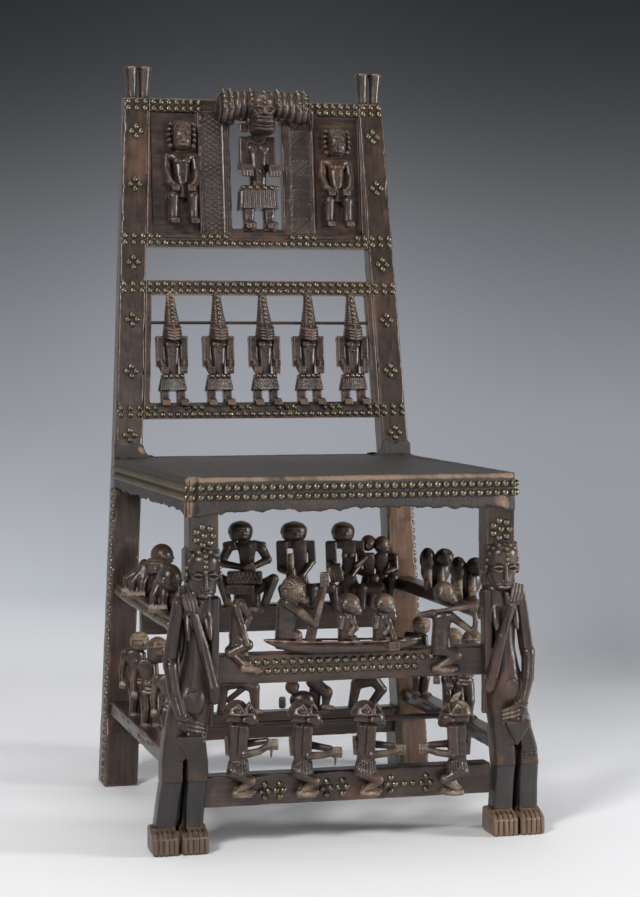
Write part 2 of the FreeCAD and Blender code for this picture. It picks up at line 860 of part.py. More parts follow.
def hide_shape():
    thick = mm("hide_thickness")
    low = SEAT_TOP - mm("hide_drop")
    rail_back = BACK_LINE + mm("housing_depth") + mm("seat_rail_thickness")
    outer = skin([hide_ring(0, low, rail_back + thick), hide_ring(0, SEAT_TOP, rail_back + thick)])
    inner = skin([hide_ring(thick, low - mm("overrun"), rail_back), hide_ring(thick, FRAME_TOP, rail_back)])
    corners = []
    wraps = []
    reach = mm("hide_corner_reach")
    corner_low = SEAT_TOP - mm("hide_corner_drop")
    for side in (-1, 1):
        edge = side * seat_half(SEAT_FRONT)
        x_span = sorted((edge, edge - side * reach))
        corners.append(
            block(
                Vector(x_span[0], SEAT_FRONT, corner_low),
                Vector(x_span[1], SEAT_FRONT + thick, low + mm("overrun")),
            )
        )
        y_far = SEAT_FRONT + mm("leg_depth")
        x_far = side * (seat_half(SEAT_FRONT) - thick)
        x_span = sorted((edge, x_far))
        corners.append(
            block(Vector(x_span[0], SEAT_FRONT, corner_low), Vector(x_span[1], y_far, low + mm("overrun")))
        )
        post_edge = post_outer(SEAT_TOP)
        wrap_edge = side * (post_edge + thick / 2)
        x_span = sorted((wrap_edge, side * (post_edge - mm("post_width") - thick)))
        gap = mm("fit_gap")
        wraps.append(
            block(
                Vector(x_span[0], BACK_LINE - thick - gap, FRAME_TOP),
                Vector(x_span[1], BACK_LINE - gap, SEAT_TOP + mm("hide_wrap_height")),
            )
        )
    solid = united([outer.cut(inner), *corners, *wraps])
    return solid


def post_window(side):
    """The room that a back post takes through the hide, below and above the seat frame's top."""
    gap = mm("fit_gap")
    outer = mm("seat_back_half") + mm("overrun")
    inner = post_outer(SEAT_TOP) - mm("post_width") - gap
    x_span = sorted((side * outer, side * inner))
    low = SEAT_TOP - mm("hide_corner_drop")
    back = BACK_LINE + mm("post_foot_depth")
    below = block(Vector(x_span[0], post_front(low) - gap, low), Vector(x_span[1], back, FRAME_TOP))
    top = SEAT_TOP + mm("hide_wrap_height")
    above = block(Vector(x_span[0], BACK_LINE - gap, FRAME_TOP), Vector(x_span[1], back, top))
    return below.fuse(above)


hide_blank = shaped("hide_blank", hide_shape().cut(post_window(-1)).cut(post_window(1)))


# Crest panel, in the plane of the back


BAND_SHARE = 0.96


def crest_shape():
    """The board's fields, bands and window, and its three figures, in the plane of the back."""
    low = mm("crest_low")
    top = low + mm("crest_height")
    field_low = low + mm("crest_border")
    field_top = top - mm("crest_border")
    half = INNER_AT_TOP.value - mm("fit_gap")
    over = mm("overrun")
    recess = mm("crest_recess")
    cuts = [
        block(
            Vector(-mm("window_half"), -over, low + mm("window_low")),
            Vector(mm("window_half"), mm("crest_thickness") + over, top - mm("window_top_margin")),
        )
    ]
    for side in (-1, 1):
        x_span = sorted((side * half, side * mm("crest_band_outer")))
        cuts.append(block(Vector(x_span[0], -over, field_low), Vector(x_span[1], recess, field_top)))
        x_span = sorted((side * mm("crest_band_outer") * BAND_SHARE, side * mm("crest_band_inner")))
        cuts.append(
            block(Vector(x_span[0], -over, field_low), Vector(x_span[1], mm("crest_band_depth"), field_top))
        )
    chief = placed(
        figure(CHIEF_SHARES, mm("chief_height")),
        Vector(0, mm("crest_thickness") / 2 - mm("chief_forward"), low + mm("window_low") - mm("figure_seat")),
    )
    relief = figure(RELIEF_SHARES, mm("relief_height"))
    reliefs = [
        placed(relief, Vector(side * mm("relief_offset"), -mm("relief_forward"), field_low - mm("figure_seat")))
        for side in (-1, 1)
    ]
    radius = mm("headdress_radius")
    roll_at = Vector(-mm("headdress_half"), -mm("headdress_forward"), top - radius / 2)
    roll = Part.makeCylinder(radius, 2 * mm("headdress_half"), roll_at, RIGHT)
    curls = []
    for side in (-1, 1):
        end = roll_at + RIGHT * (1 + side) * mm("headdress_half")
        start = end - RIGHT * side * radius
        drop = start - UP * mm("headdress_curl_drop")
        curls += limb([(start, radius), (drop, radius / 2)])
    return cuts, [chief, *reliefs, roll, *curls]


crest_low = cell("crest_low")
crest_top = cell("crest_low") + cell("crest_height")
tenon_low = crest_low + cell("crest_tenon")
tenon_high = crest_top - cell("crest_tenon")
crest_corners = [
    (inner_along_back(crest_low), crest_low),
    (inner_along_back(tenon_low), tenon_low),
    (inner_along_back(tenon_low) + cell("tenon_length"), tenon_low),
    (inner_along_back(tenon_low) + cell("tenon_length"), tenon_high),
    (inner_along_back(tenon_high), tenon_high),
    (inner_along_back(crest_top), crest_top),
]
crest_board = board(
    "crest_board", "XZ_Plane", mirrored(crest_corners), -cell("crest_thickness"), cell("crest_thickness")
)
crest_cuts, crest_carving = crest_shape()
fields = shaped("crest_fields", Part.makeCompound(crest_cuts))
crest_cut = cut("crest_cut_board", crest_board, [fields])
carving = shaped("crest_carving", united(crest_carving))
crest_blank = joined("crest_blank", [crest_cut, carving])
crest_blank.Placement = back_place


# Open back panel with five figures in tall hats, carved in one, and the rod through the hats

panel_low = cell("panel_low")
panel_high = cell("panel_high")
panel_corners = [
    (inner_along_back(panel_low), panel_low),
    (inner_along_back(panel_low + cell("panel_low_rail") / 4), panel_low + cell("panel_low_rail") / 4),
    (inner_along_back(panel_low) + cell("tenon_length"), panel_low + cell("panel_low_rail") / 4),
    (inner_along_back(panel_low) + cell("tenon_length"), panel_low + cell("panel_low_rail") * 3 / 4),
    (inner_along_back(panel_low + cell("panel_low_rail") * 3 / 4), panel_low + cell("panel_low_rail") * 3 / 4),
    (inner_along_back(panel_high - cell("panel_high_rail") * 3 / 4), panel_high - cell("panel_high_rail") * 3 / 4),
    (inner_along_back(panel_high) + cell("tenon_length"), panel_high - cell("panel_high_rail") * 3 / 4),
    (inner_along_back(panel_high) + cell("tenon_length"), panel_high - cell("panel_high_rail") / 4),
    (inner_along_back(panel_high - cell("panel_high_rail") / 4), panel_high - cell("panel_high_rail") / 4),
    (inner_along_back(panel_high), panel_high),
]
panel_board = board(
    "panel_board", "XZ_Plane", mirrored(panel_corners), -cell("panel_thickness"), cell("panel_thickness")
)


def panel_opening():
    low = mm("panel_low") + mm("panel_low_rail")
    high = mm("panel_high") - mm("panel_high_rail")
    over = mm("overrun")

    def ring(y):
        low_half = inner_along_back(Length(low, "low")).value - mm("panel_stile")
        high_half = inner_along_back(Length(high, "high")).value - mm("panel_stile")
        return [
            Vector(-low_half, y, low),
            Vector(low_half, y, low),
            Vector(high_half, y, high),
            Vector(-high_half, y, high),
        ]

    return skin([ring(mm("panel_thickness") + over), ring(-over)])


def panel_figure_places():
    return [Vector(step * mm("panel_figure_pitch"), 0, 0) for step in (-2, -1, 0, 1, 2)]


def panel_rod():
    """The thin rod, as a cylinder along X in the plane of the back."""
    along = mm("panel_high") - mm("panel_high_rail") - mm("rod_drop")
    reach = inner_along_back(Length(along, "along")).value - mm("panel_stile") / 2
    start = Vector(-reach, mm("rod_setback"), along)
    return Part.makeCylinder(mm("rod_diameter") / 2, 2 * reach, start, RIGHT)


panel_foot = mm("panel_low") + mm("panel_low_rail")
panel_figure_height = mm("panel_high") - mm("panel_high_rail") - panel_foot
one_hat_figure = figure(STANDING_SHARES, panel_figure_height)
hat_figures = [
    placed(one_hat_figure, place + Vector(0, mm("panel_thickness") / 2 - mm("panel_figure_forward") / 2, panel_foot))
    for place in panel_figure_places()
]
panel_cut = cut("panel_frame", panel_board, [shaped("panel_opening", panel_opening())])
panel_blank = joined("panel_blank", [panel_cut, shaped("panel_figures", Part.makeCompound(hat_figures))])
panel_bored = cut("panel_bored", panel_blank, [shaped("panel_rod_bore", panel_rod())])
panel_bored.Placement = back_place
rod = shaped("back_panel_rod", panel_rod(), back_place)


# Rungs and their figures

front_upper_y = front_face + cell("front_upper_setback") - cell("hide_thickness")
front_lower_y = front_face + cell("front_lower_setback") - cell("hide_thickness")
front_half = cell("front_rung_half")
front_upper = cross_rail(
    "front_upper_board",
    cell("front_upper_low"),
    cell("front_upper_height"),
    front_upper_y,
    cell("front_rung_depth"),
    front_half,
)
front_lower = cross_rail(
    "front_lower_board",
    cell("front_lower_low"),
    cell("front_lower_height"),
    front_lower_y,
    cell("front_rung_depth"),
    front_half + cell("tenon_shoulder"),
)


def rear_rung(name, low, height):
    shift = cell("post_foot_forward") * (cell("seat_height") - low) / cell("seat_height")
    front = cell("back_line") - shift + cell("rear_rung_setback")
    return cross_rail(name, low, height, front, cell("rear_rung_depth"), inner_at(low) + cell("housing_depth"))


rear_upper = rear_rung("rear_upper_board", cell("rear_upper_low"), cell("rear_upper_height"))
rear_lower = rear_rung("rear_lower_board", cell("rear_lower_low"), cell("rear_lower_height"))


def side_rung(name, sign, low, height, outer):
    """A rung along the chair's side, from inside the leg to inside the back post."""
    start = front_face + cell("side_rung_reach")
    shift = cell("post_foot_forward") * (cell("seat_height") - low) / cell("seat_height")
    end = cell("back_line") - shift + cell("housing_depth")
    inner = outer - cell("side_rung_width")
    shoulder = cell("tenon_shoulder")
    corners = [
        (outer, start),
        (outer, end),
        (outer - shoulder, end),
        (outer - shoulder, end + cell("tenon_length")),
        (inner + shoulder, end + cell("tenon_length")),
        (inner + shoulder, end),
        (inner, end),
        (inner, start),
        (inner + shoulder, start),
        (inner + shoulder, start - cell("tenon_length")),
        (outer - shoulder, start - cell("tenon_length")),
        (outer - shoulder, start),
    ]
    if sign < 0:
        corners = [(-x, y) for x, y in reversed(corners)]
    return board(name, "XY_Plane", corners, low, height)


side_boards = {}
for side, sign in SIDES:
    side_boards[side, "upper"] = side_rung(
        side + "_upper_board", sign, cell("side_upper_low"), cell("side_upper_height"), cell("side_upper_half")
    )
    side_boards[side, "lower"] = side_rung(
        side + "_lower_board", sign, cell("side_lower_low"), cell("side_lower_height"), cell("side_lower_half")
    )


def cross_rod_shape():
    """The thin rod between the two lower side rungs."""
    reach = mm("side_lower_half") - mm("side_rung_width") + mm("cross_rod_socket")
    start = Vector(-reach, BACK_LINE - mm("cross_rod_place"), mm("side_lower_low") + mm("side_lower_height") / 2)
    return Part.makeCylinder(mm("cross_rod_diameter") / 2, 2 * reach, start, RIGHT)


cross_rod = shaped("lower_cross_rod", cross_rod_shape())


def bar(start, end, thickness):
    """A thin six-sided stick between two places."""
    return united(limb([(start, thickness / 2), (end, thickness / 2)]))


CANOE_SHARES = [
    (-1.0, 0.18, 0.72),
    (-0.72, 0.80, 0.22),
    (-0.30, 1.00, 0.00),
    (0.30, 1.00, 0.00),
    (0.72, 0.80, 0.22),
    (1.0, 0.18, 0.72),
]
CANOE_WALL_SHARE = 0.78
CANOE_FLOOR_SHARE = 0.45


def canoe_shape():
    """A hollow boat along X with pointed, raised ends, its keel on the origin."""
    half = mm("canoe_length") / 2
    beam = mm("canoe_width") / 2
    depth = mm("canoe_depth")
    rings = []
    inner = []
    for end_share, beam_share, keel_share in CANOE_SHARES:
        x = half * end_share
        wide = beam * beam_share
        keel = depth * keel_share
        rings.append(
            [Vector(x, -wide, depth), Vector(x, -wide / 2, keel), Vector(x, wide / 2, keel), Vector(x, wide, depth)]
        )
        if abs(end_share) < 1:
            wall = wide * CANOE_WALL_SHARE
            floor = keel + depth * CANOE_FLOOR_SHARE
            inner.append(
                [
                    Vector(x, -wall, depth + mm("overrun")),
                    Vector(x, -wall / 2, floor),
                    Vector(x, wall / 2, floor),
                    Vector(x, wall, depth + mm("overrun")),
                ]
            )
    return skin(rings).cut(skin(inner))


FRONT_UPPER_SHARES = {"porter": -0.78, "steersman": -0.42, "paddlers": (-0.02, 0.23), "hunter": 0.68}
FRONT_LOWER_SHARES = {-0.75: 90, -0.32: 90, 0.13: 90, 0.73: -90}
REAR_UPPER_SHARES = (-0.17, 0.24, 0.60)
REAR_COUPLE_SHARES = {0.76: 60, 0.85: -60}
REAR_LOWER_SHARES = {-0.62: 90, -0.25: -90, 0.29: 90, 0.74: -90}
LEFT_UPPER_SHARES = (0.26, 0.38, 0.73)
LEFT_LOWER_SHARES = (0.28, 0.49, 0.82)
RIGHT_UPPER_SHARES = (0.36, 0.66)
RIGHT_LOWER_SHARES = (0.12, 0.45, 0.60)
GUN_RISE_SHARE = 0.80
GUN_FORWARD_SHARE = 0.10
COUPLE_FORWARD_SHARE = 0.25


def front_upper_figures():
    y = SEAT_FRONT + mm("front_upper_setback")
    top = mm("front_upper_low") + mm("front_upper_height")
    half = mm("front_rung_half")
    places = FRONT_UPPER_SHARES
    boat_at = Vector(0, y, top - mm("figure_seat") * 2)
    made = [placed(canoe_shape(), boat_at)]
    seat = boat_at.z + mm("canoe_seat")
    steersman = figure(KNEELING_SHARES, mm("steersman_height"))
    made.append(placed(steersman, Vector(places["steersman"] * half, y, seat), 90))
    paddler = figure(KNEELING_SHARES, mm("paddler_height"))
    for share in places["paddlers"]:
        made.append(placed(paddler, Vector(share * half, y, seat), 90))
    porter = figure(WATCHING_SHARES, mm("porter_height"))
    low = mm("front_upper_low")
    made.append(placed(porter, Vector(places["porter"] * half, y, low), 30))
    hunter = figure(KNEELING_SHARES, mm("hunter_height"))
    hunter_at = Vector(places["hunter"] * half, y, low)
    made.append(placed(hunter, hunter_at, -90))
    rise = Vector(0, -GUN_FORWARD_SHARE, GUN_RISE_SHARE) * mm("hunter_height")
    aim = hunter_at + rise + RIGHT * mm("gun_length") / 4
    made.append(bar(aim, aim - RIGHT * mm("gun_length"), mm("tool_thickness")))
    return made


def front_lower_figures():
    y = SEAT_FRONT + mm("front_lower_setback")
    low = mm("front_lower_low") + mm("front_lower_height") - mm("smith_drop")
    smith = figure(KNEELING_SHARES, mm("smith_height"))
    half = mm("front_rung_half")
    places = FRONT_LOWER_SHARES.items()
    return [placed(smith, Vector(share * half, y, low), facing) for share, facing in places]


def rear_y(low):
    return post_front(low) + mm("rear_rung_setback") + mm("rear_rung_depth") / 2


def rear_upper_figures():
    low = mm("rear_upper_low")
    seat = low + mm("rear_upper_height") - mm("figure_seat")
    half = post_outer(low) - mm("post_width")
    made = []
    musician = figure(SEATED_SHARES, mm("musician_height"))
    for share in REAR_UPPER_SHARES:
        made.append(placed(musician, Vector(share * half, rear_y(low), seat)))
    couple = figure(SEATED_SHARES, mm("couple_height"))
    forward = mm("rear_rung_depth") * COUPLE_FORWARD_SHARE
    for share, facing in REAR_COUPLE_SHARES.items():
        made.append(placed(couple, Vector(share * half, rear_y(low) - forward, seat), facing))
    return made


def rear_lower_figures():
    low = mm("rear_lower_low")
    seat = low + mm("rear_lower_height") - mm("figure_seat")
    half = post_outer(low) - mm("post_width")
    crawler = figure(CRAWLING_SHARES, mm("crawler_height"))
    places = REAR_LOWER_SHARES.items()
    return [placed(crawler, Vector(share * half, rear_y(low), seat), facing) for share, facing in places]


def side_figures(sign, shares, height, places, low, rung_height, outer, facing):
    """Copies of one figure along a side rung, from the back post forwards."""
    start = post_front(low)
    end = SEAT_FRONT + mm("side_rung_reach")
    x = sign * (outer - mm("side_rung_width") / 2)
    seat = low + rung_height - mm("figure_seat")
    one = figure(shares, height)
    return [placed(one, Vector(x, start + (end - start) * share, seat), facing) for share in places]


def rung(name, bare, figures):
    return joined(name, [bare, shaped(name + "_figures", united(figures))])


upper_low, upper_height, upper_half = mm("side_upper_low"), mm("side_upper_height"), mm("side_upper_half")
lower_low, lower_height, lower_half = mm("side_lower_low"), mm("side_lower_height"), mm("side_lower_half")
blanks = {
    "front_upper_rung": rung("front_upper_blank", front_upper, front_upper_figures()),
    "front_lower_rung": rung("front_lower_blank", front_lower, front_lower_figures()),
    "rear_upper_rung": rung("rear_upper_blank", rear_upper, rear_upper_figures()),
    "rear_lower_rung": rung("rear_lower_blank", rear_lower, rear_lower_figures()),
    "left_upper_rung": rung(
        "left_upper_blank",
        side_boards["left", "upper"],
        side_figures(
            -1, HUNCHED_SHARES, mm("sitter_height"), LEFT_UPPER_SHARES, upper_low, upper_height, upper_half, -90
        ),
    ),
    "left_lower_rung": rung(
        "left_lower_blank",
        side_boards["left", "lower"],
        side_figures(
            -1, WATCHING_SHARES, mm("watcher_height"), LEFT_LOWER_SHARES, lower_low, lower_height, lower_half, -90
        ),
    ),
    "right_upper_rung": rung(
        "right_upper_blank",
        side_boards["right", "upper"],
        side_figures(
            1, BOWED_SHARES, mm("bowed_height"), RIGHT_UPPER_SHARES, upper_low, upper_height, upper_half, -90
        ),
    ),
    "right_lower_rung": rung(
        "right_lower_blank",
        side_boards["right", "lower"],
        side_figures(
            1, WATCHING_SHARES, mm("servant_height"), RIGHT_LOWER_SHARES, lower_low, lower_height,
            lower_half, -90
        ),
    ),
}


# Tack groups

EDGE = mm("tack_edge")
ROW_GAP = mm("tack_row_gap")
CLOSE_SHARE = 0.86


def back_row(along, reach, zones=()):
    """Tacks on the front plane of the back, at a distance along it."""
    places = row_places(Vector(-reach, 0, along), Vector(reach, 0, along))
    return clear_of(places, zones)


def half_gap(along):
    return inner_along_back(Length(along, "along")).value


crest_low_value = mm("crest_low")
crest_high_value = crest_low_value + mm("crest_height")
crest_reach = half_gap(crest_high_value) - EDGE
headdress_zone = [(0, mm("headdress_half") + mm("tack_diameter"))]
relief_zones = [(side * mm("relief_offset"), mm("relief_height") / 6) for side in (-1, 1)]
crest_rows = []
crest_rows += back_row(crest_high_value - EDGE, crest_reach, headdress_zone)
crest_rows += back_row(crest_high_value - EDGE - CLOSE_SHARE * ROW_GAP, crest_reach, headdress_zone)
crest_rows += back_row(crest_low_value + EDGE, half_gap(crest_low_value) - EDGE)
crest_rows += back_row(
    crest_low_value + EDGE + CLOSE_SHARE * ROW_GAP,
    half_gap(crest_low_value) - EDGE,
    [(0, mm("window_half")), *relief_zones],
)
crest_tacks = tack_group("crest_tacks", crest_rows, FRONT, back_place)

panel_rows = []
figure_zones = [(place.x, mm("panel_figure_pitch") / 4) for place in panel_figure_places()]
for along, zones in (
    (mm("panel_low") + EDGE, ()),
    (mm("panel_low") + EDGE + CLOSE_SHARE * ROW_GAP, figure_zones),
    (mm("panel_high") - EDGE, ()),
    (mm("panel_high") - EDGE - CLOSE_SHARE * ROW_GAP, ()),
):
    panel_rows += back_row(along, half_gap(along) - EDGE, zones)
panel_tacks = tack_group("back_panel_tacks", panel_rows, FRONT, back_place)

POST_CLUSTER_SHARES = (0.061, 0.237, 0.380, 0.539, 0.757, 0.905)


def post_tacks(name, side):
    """Rows that carry the panels' borders across a post, and clusters between them."""

    def across(along):
        width = mm("post_width") - (mm("post_width") - mm("post_top_width")) * along / BACK_LENGTH
        return half_gap(along), width

    places = []
    rows = (
        crest_high_value - EDGE,
        crest_high_value - EDGE - CLOSE_SHARE * ROW_GAP,
        crest_low_value + EDGE,
        crest_low_value + EDGE + CLOSE_SHARE * ROW_GAP,
        mm("panel_low") + EDGE,
        mm("panel_low") + EDGE + CLOSE_SHARE * ROW_GAP,
        mm("panel_high") - EDGE,
        mm("panel_high") - EDGE - CLOSE_SHARE * ROW_GAP,
    )
    for along in rows:
        inner, width = across(along)
        ends = [Vector(side * (inner + EDGE), 0, along), Vector(side * (inner + width - EDGE), 0, along)]
        places += row_places(*ends)
    for share in POST_CLUSTER_SHARES:
        along = share * BACK_LENGTH
        inner, width = across(along)
        places += cluster_places(Vector(side * (inner + width / 2), 0, along), RIGHT, UP)
    return tack_group(name, places, FRONT, back_place)


def post_side_tacks(name, side):
    """The row down the outer face of a post, from the seat to the foot."""
    slope = (mm("post_foot_half") - mm("post_top_half")) / POST_TOP
    out = Vector(side, 0, slope).normalize()
    start_z, end_z = FRAME_LOW - mm("tack_diameter"), mm("tack_diameter")
    ends = []
    for z in (start_z, end_z):
        ends.append(Vector(side * post_outer(z), post_front(z) + mm("tack_edge"), z))
    return tack_group(name, row_places(*ends), out)


def seat_tacks_front():
    places = []
    half = seat_half(SEAT_FRONT) - EDGE
    for row in (1, 2):
        z = SEAT_TOP - EDGE - ROW_GAP * row + mm("hide_thickness")
        places += row_places(Vector(-half, SEAT_FRONT, z), Vector(half, SEAT_FRONT, z))
    return tack_group("front_seat_tacks", places, FRONT)


def seat_tacks_side(name, side):
    slope = (mm("seat_back_half") - mm("seat_front_half")) / mm("seat_depth")
    out = Vector(side, -slope, 0).normalize()
    places = []
    for row in (1, 2):
        z = SEAT_TOP - EDGE - ROW_GAP * row + mm("hide_thickness")
        ends = []
        for y in (SEAT_FRONT + EDGE, BACK_LINE - EDGE * 2):
            ends.append(Vector(side * seat_half(y), y, z))
        places += row_places(*ends)
    return tack_group(name, places, out)


def rear_seat_tacks():
    half = post_outer(SEAT_TOP) - mm("post_width") - EDGE * 2
    back = BACK_LINE + mm("housing_depth") + mm("seat_rail_thickness") + mm("hide_thickness")
    z = SEAT_TOP - mm("seat_rail_height") / 2
    return tack_group("rear_seat_tacks", row_places(Vector(-half, back, z), Vector(half, back, z)), -FRONT)


def leg_tacks(name, side):
    """The ring and the short column on the square top of a front leg."""
    middle = mm("seat_front_half") - mm("leg_inset") - mm("leg_width") / 2
    centre = Vector(side * middle, SEAT_FRONT + mm("hide_thickness"), SEAT_TOP - mm("hide_corner_drop") - 2 * ROW_GAP)
    ring = []
    for i in range(7):
        turn = math.tau * i / 7
        ring.append(centre + RIGHT * math.cos(turn) * ROW_GAP + UP * math.sin(turn) * ROW_GAP)
    return tack_group(name, [centre, *ring], FRONT)


FRONT_UPPER_ROWS = ((0.71, -0.71, 0.58), (0.40, -0.635, 0.46))
FRONT_LOWER_ROWS = ((-0.61, -0.455), (-0.18, -0.01), (0.27, 0.59))
FRONT_LOWER_ROW_SHARE = 0.45
rung_half = mm("front_rung_half")


def front_upper_rows():
    """Two rows on the rung's face below the canoe."""
    places = []
    for height_share, start, end in FRONT_UPPER_ROWS:
        y = SEAT_FRONT + mm("front_upper_setback")
        z = mm("front_upper_low") + mm("front_upper_height") * height_share
        places += row_places(Vector(start * rung_half, y, z), Vector(end * rung_half, y, z))
    return tack_group("front_upper_rung_tacks", places, FRONT)


def front_lower_rows():
    """A line between each two smiths, with a lozenge at each end of it."""
    places = []
    reach = UP * mm("lozenge_reach")
    for start, end in FRONT_LOWER_ROWS:
        y = SEAT_FRONT + mm("front_lower_setback")
        z = mm("front_lower_low") + mm("front_lower_height") * FRONT_LOWER_ROW_SHARE
        row = row_places(Vector(start * rung_half, y, z), Vector(end * rung_half, y, z))
        places += row
        for one, other in ((row[0], row[1]), (row[-1], row[-2])):
            middle = (one + other) / 2
            places += [middle + reach, middle - reach]
    return tack_group("front_lower_rung_tacks", places, FRONT)


front_upper_tacks = front_upper_rows()
front_lower_tacks = front_lower_rows()


def side_rung_tacks(name, side):
    z = mm("side_upper_low") + mm("side_upper_height") / 2
    x = side * mm("side_upper_half")
    ends = [Vector(x, SEAT_FRONT + 2 * mm("side_rung_reach"), z), Vector(x, post_front(z) - 2 * EDGE, z)]
    return tack_group(name, row_places(*ends), Vector(side, 0, 0))


post_front_tacks = {side: post_tacks(side + "_post_tacks", sign) for side, sign in SIDES}
post_edge_tacks = {
    side: post_side_tacks(side + "_post_edge_tacks", sign) for side, sign in (("left", -1), ("right", 1))
}
front_hide_tacks = seat_tacks_front()
side_hide_tacks = {side: seat_tacks_side(side + "_seat_tacks", sign) for side, sign in SIDES}
rear_hide_tacks = rear_seat_tacks()
leg_top_tacks = {side: leg_tacks(side + "_leg_tacks", sign) for side, sign in SIDES}
side_tacks = {side: side_rung_tacks(side + "_rung_tacks", sign) for side, sign in SIDES}
hide_tacks = [front_hide_tacks, *side_hide_tacks.values(), rear_hide_tacks]

# Mortises, sockets and pilot holes

finished = [
    cut("front_seat_rail", front_rail, [front_hide_tacks]),
    cut("rear_seat_rail", rear_rail, [rear_hide_tacks]),
]
for side in ("left", "right"):
    finished.append(cut(side + "_seat_rail", side_rails[side], [side_hide_tacks[side]]))
    upper, lower = side_boards[side, "upper"], side_boards[side, "lower"]
    finished.append(
        cut(
            side + "_back_post",
            bare_posts[side],
            [
                rear_rail, side_rails[side], crest_blank, panel_bored, rear_upper, rear_lower, upper, lower,
                post_front_tacks[side], post_edge_tacks[side],
            ],
        )
    )
    finished.append(
        cut(
            side + "_front_leg",
            bare_legs[side],
            [
                front_rail, side_rails[side], front_upper, front_lower, upper, lower,
                leg_top_tacks[side], front_hide_tacks, side_hide_tacks[side],
            ],
        )
    )
finished.append(cut("seat_hide", hide_blank, hide_tacks))
finished.append(cut("crest_panel", crest_blank, [crest_tacks, *post_front_tacks.values()]))
finished.append(cut("back_panel", panel_bored, [panel_tacks, *post_front_tacks.values()]))
finished.append(cut("front_upper_rung", blanks["front_upper_rung"], [front_upper_tacks]))
finished.append(cut("front_lower_rung", blanks["front_lower_rung"], [front_lower_tacks]))
for side in ("left", "right"):
    finished.append(cut(side + "_upper_rung", blanks[side + "_upper_rung"], [side_tacks[side]]))
    finished.append(cut(side + "_lower_rung", blanks[side + "_lower_rung"], [cross_rod]))
for name in ("rear_upper_rung", "rear_lower_rung"):
    blanks[name].Label = name
    finished.append(blanks[name])
finished += [rod, cross_rod, crest_tacks, panel_tacks, front_upper_tacks, front_lower_tacks, *hide_tacks]
finished += [*post_front_tacks.values(), *post_edge_tacks.values(), *leg_top_tacks.values(), *side_tacks.values()]

doc.recompute()

# The files, one for each sub-part

for item in doc.Objects:
    if "Invalid" in item.State or "Error" in item.State:
        raise RuntimeError("%s could not be made" % item.Label)
os.makedirs("parts", exist_ok=True)
for item in finished:
    if item.Shape.isNull() or not item.Shape.isValid():
        raise RuntimeError("%s has no valid shape" % item.Label)
for item in finished:
    item.Shape.exportStep("parts/%s.step" % item.Label)
    print("%-26s %3d solids %12.1f mm3" % (item.Label, len(item.Shape.Solids), item.Shape.Volume))
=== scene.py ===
"""Looks for the carved chair. Each carved piece is a distance field that is meshed at the end.

Rows of numbers in the figures are places and sizes: in millimetres, or in shares of a figure's
height where its place has a scale. A limb's point ends with its radius, and every form's k is
the width over which it melts into what is there.
"""

import math
from concurrent.futures import ThreadPoolExecutor

import bpy
import numpy as np
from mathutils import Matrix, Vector


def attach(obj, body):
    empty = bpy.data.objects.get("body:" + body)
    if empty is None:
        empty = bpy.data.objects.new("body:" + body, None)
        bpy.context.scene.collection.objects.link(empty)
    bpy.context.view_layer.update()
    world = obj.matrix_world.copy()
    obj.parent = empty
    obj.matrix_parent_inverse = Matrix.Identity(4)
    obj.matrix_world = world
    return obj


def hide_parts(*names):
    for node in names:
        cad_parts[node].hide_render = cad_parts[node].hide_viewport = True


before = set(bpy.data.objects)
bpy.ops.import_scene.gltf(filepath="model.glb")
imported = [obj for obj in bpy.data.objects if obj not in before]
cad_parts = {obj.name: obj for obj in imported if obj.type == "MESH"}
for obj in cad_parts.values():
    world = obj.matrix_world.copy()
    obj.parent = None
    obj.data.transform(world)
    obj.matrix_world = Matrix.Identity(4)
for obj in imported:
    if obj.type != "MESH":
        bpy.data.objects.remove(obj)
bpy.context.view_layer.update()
MM = 0.001
FINE = 1.05  # the grid's step
FAR = 40.0  # distance that an empty grid starts from
LEAST_RADIUS = 0.3
CAP_SOFTNESS = 1.2
# reach and depth of the share that marks worn edges and painted shade in the cuts
WEAR_AND_SHADE_REACH = 2.4
WEAR_AND_SHADE_DEPTH = 4
FACING = (0, 0, -14.9)  # turn of the rungs' figures towards the viewer
YAW, PITCH = 0.2593, -0.0471  # of the photo's camera, in radians


def rotation(turn):
    """Matrix for turns about X, Y and Z in degrees, X first."""
    a, b, c = (math.radians(t) for t in turn)
    rx = np.array([[1, 0, 0], [0, math.cos(a), -math.sin(a)], [0, math.sin(a), math.cos(a)]])
    ry = np.array([[math.cos(b), 0, math.sin(b)], [0, 1, 0], [-math.sin(b), 0, math.cos(b)]])
    rz = np.array([[math.cos(c), -math.sin(c), 0], [math.sin(c), math.cos(c), 0], [0, 0, 1]])
    return rz @ ry @ rx


def soft_min(a, b, k):
    if k <= 0:
        return np.minimum(a, b)
    h = np.maximum(k - np.abs(a - b), 0) / k
    return np.minimum(a, b) - h * h * k / 4


def box_distance(q):
    """Distance to a box, from how far points lie beyond its three pairs of faces."""
    outside = np.sqrt(sum(np.maximum(v, 0) ** 2 for v in q))
    inside = np.minimum(np.maximum(np.maximum(q[0], q[1]), q[2]), 0)
    return outside + inside


def both_ways(*half, about=0.0):
    """A line that runs alike to both sides of X = about, given from its outer end inwards."""
    left = [(about - x, *rest) for x, *rest in half]
    return left + [(about + x, *rest) for x, *rest in reversed(half) if x]


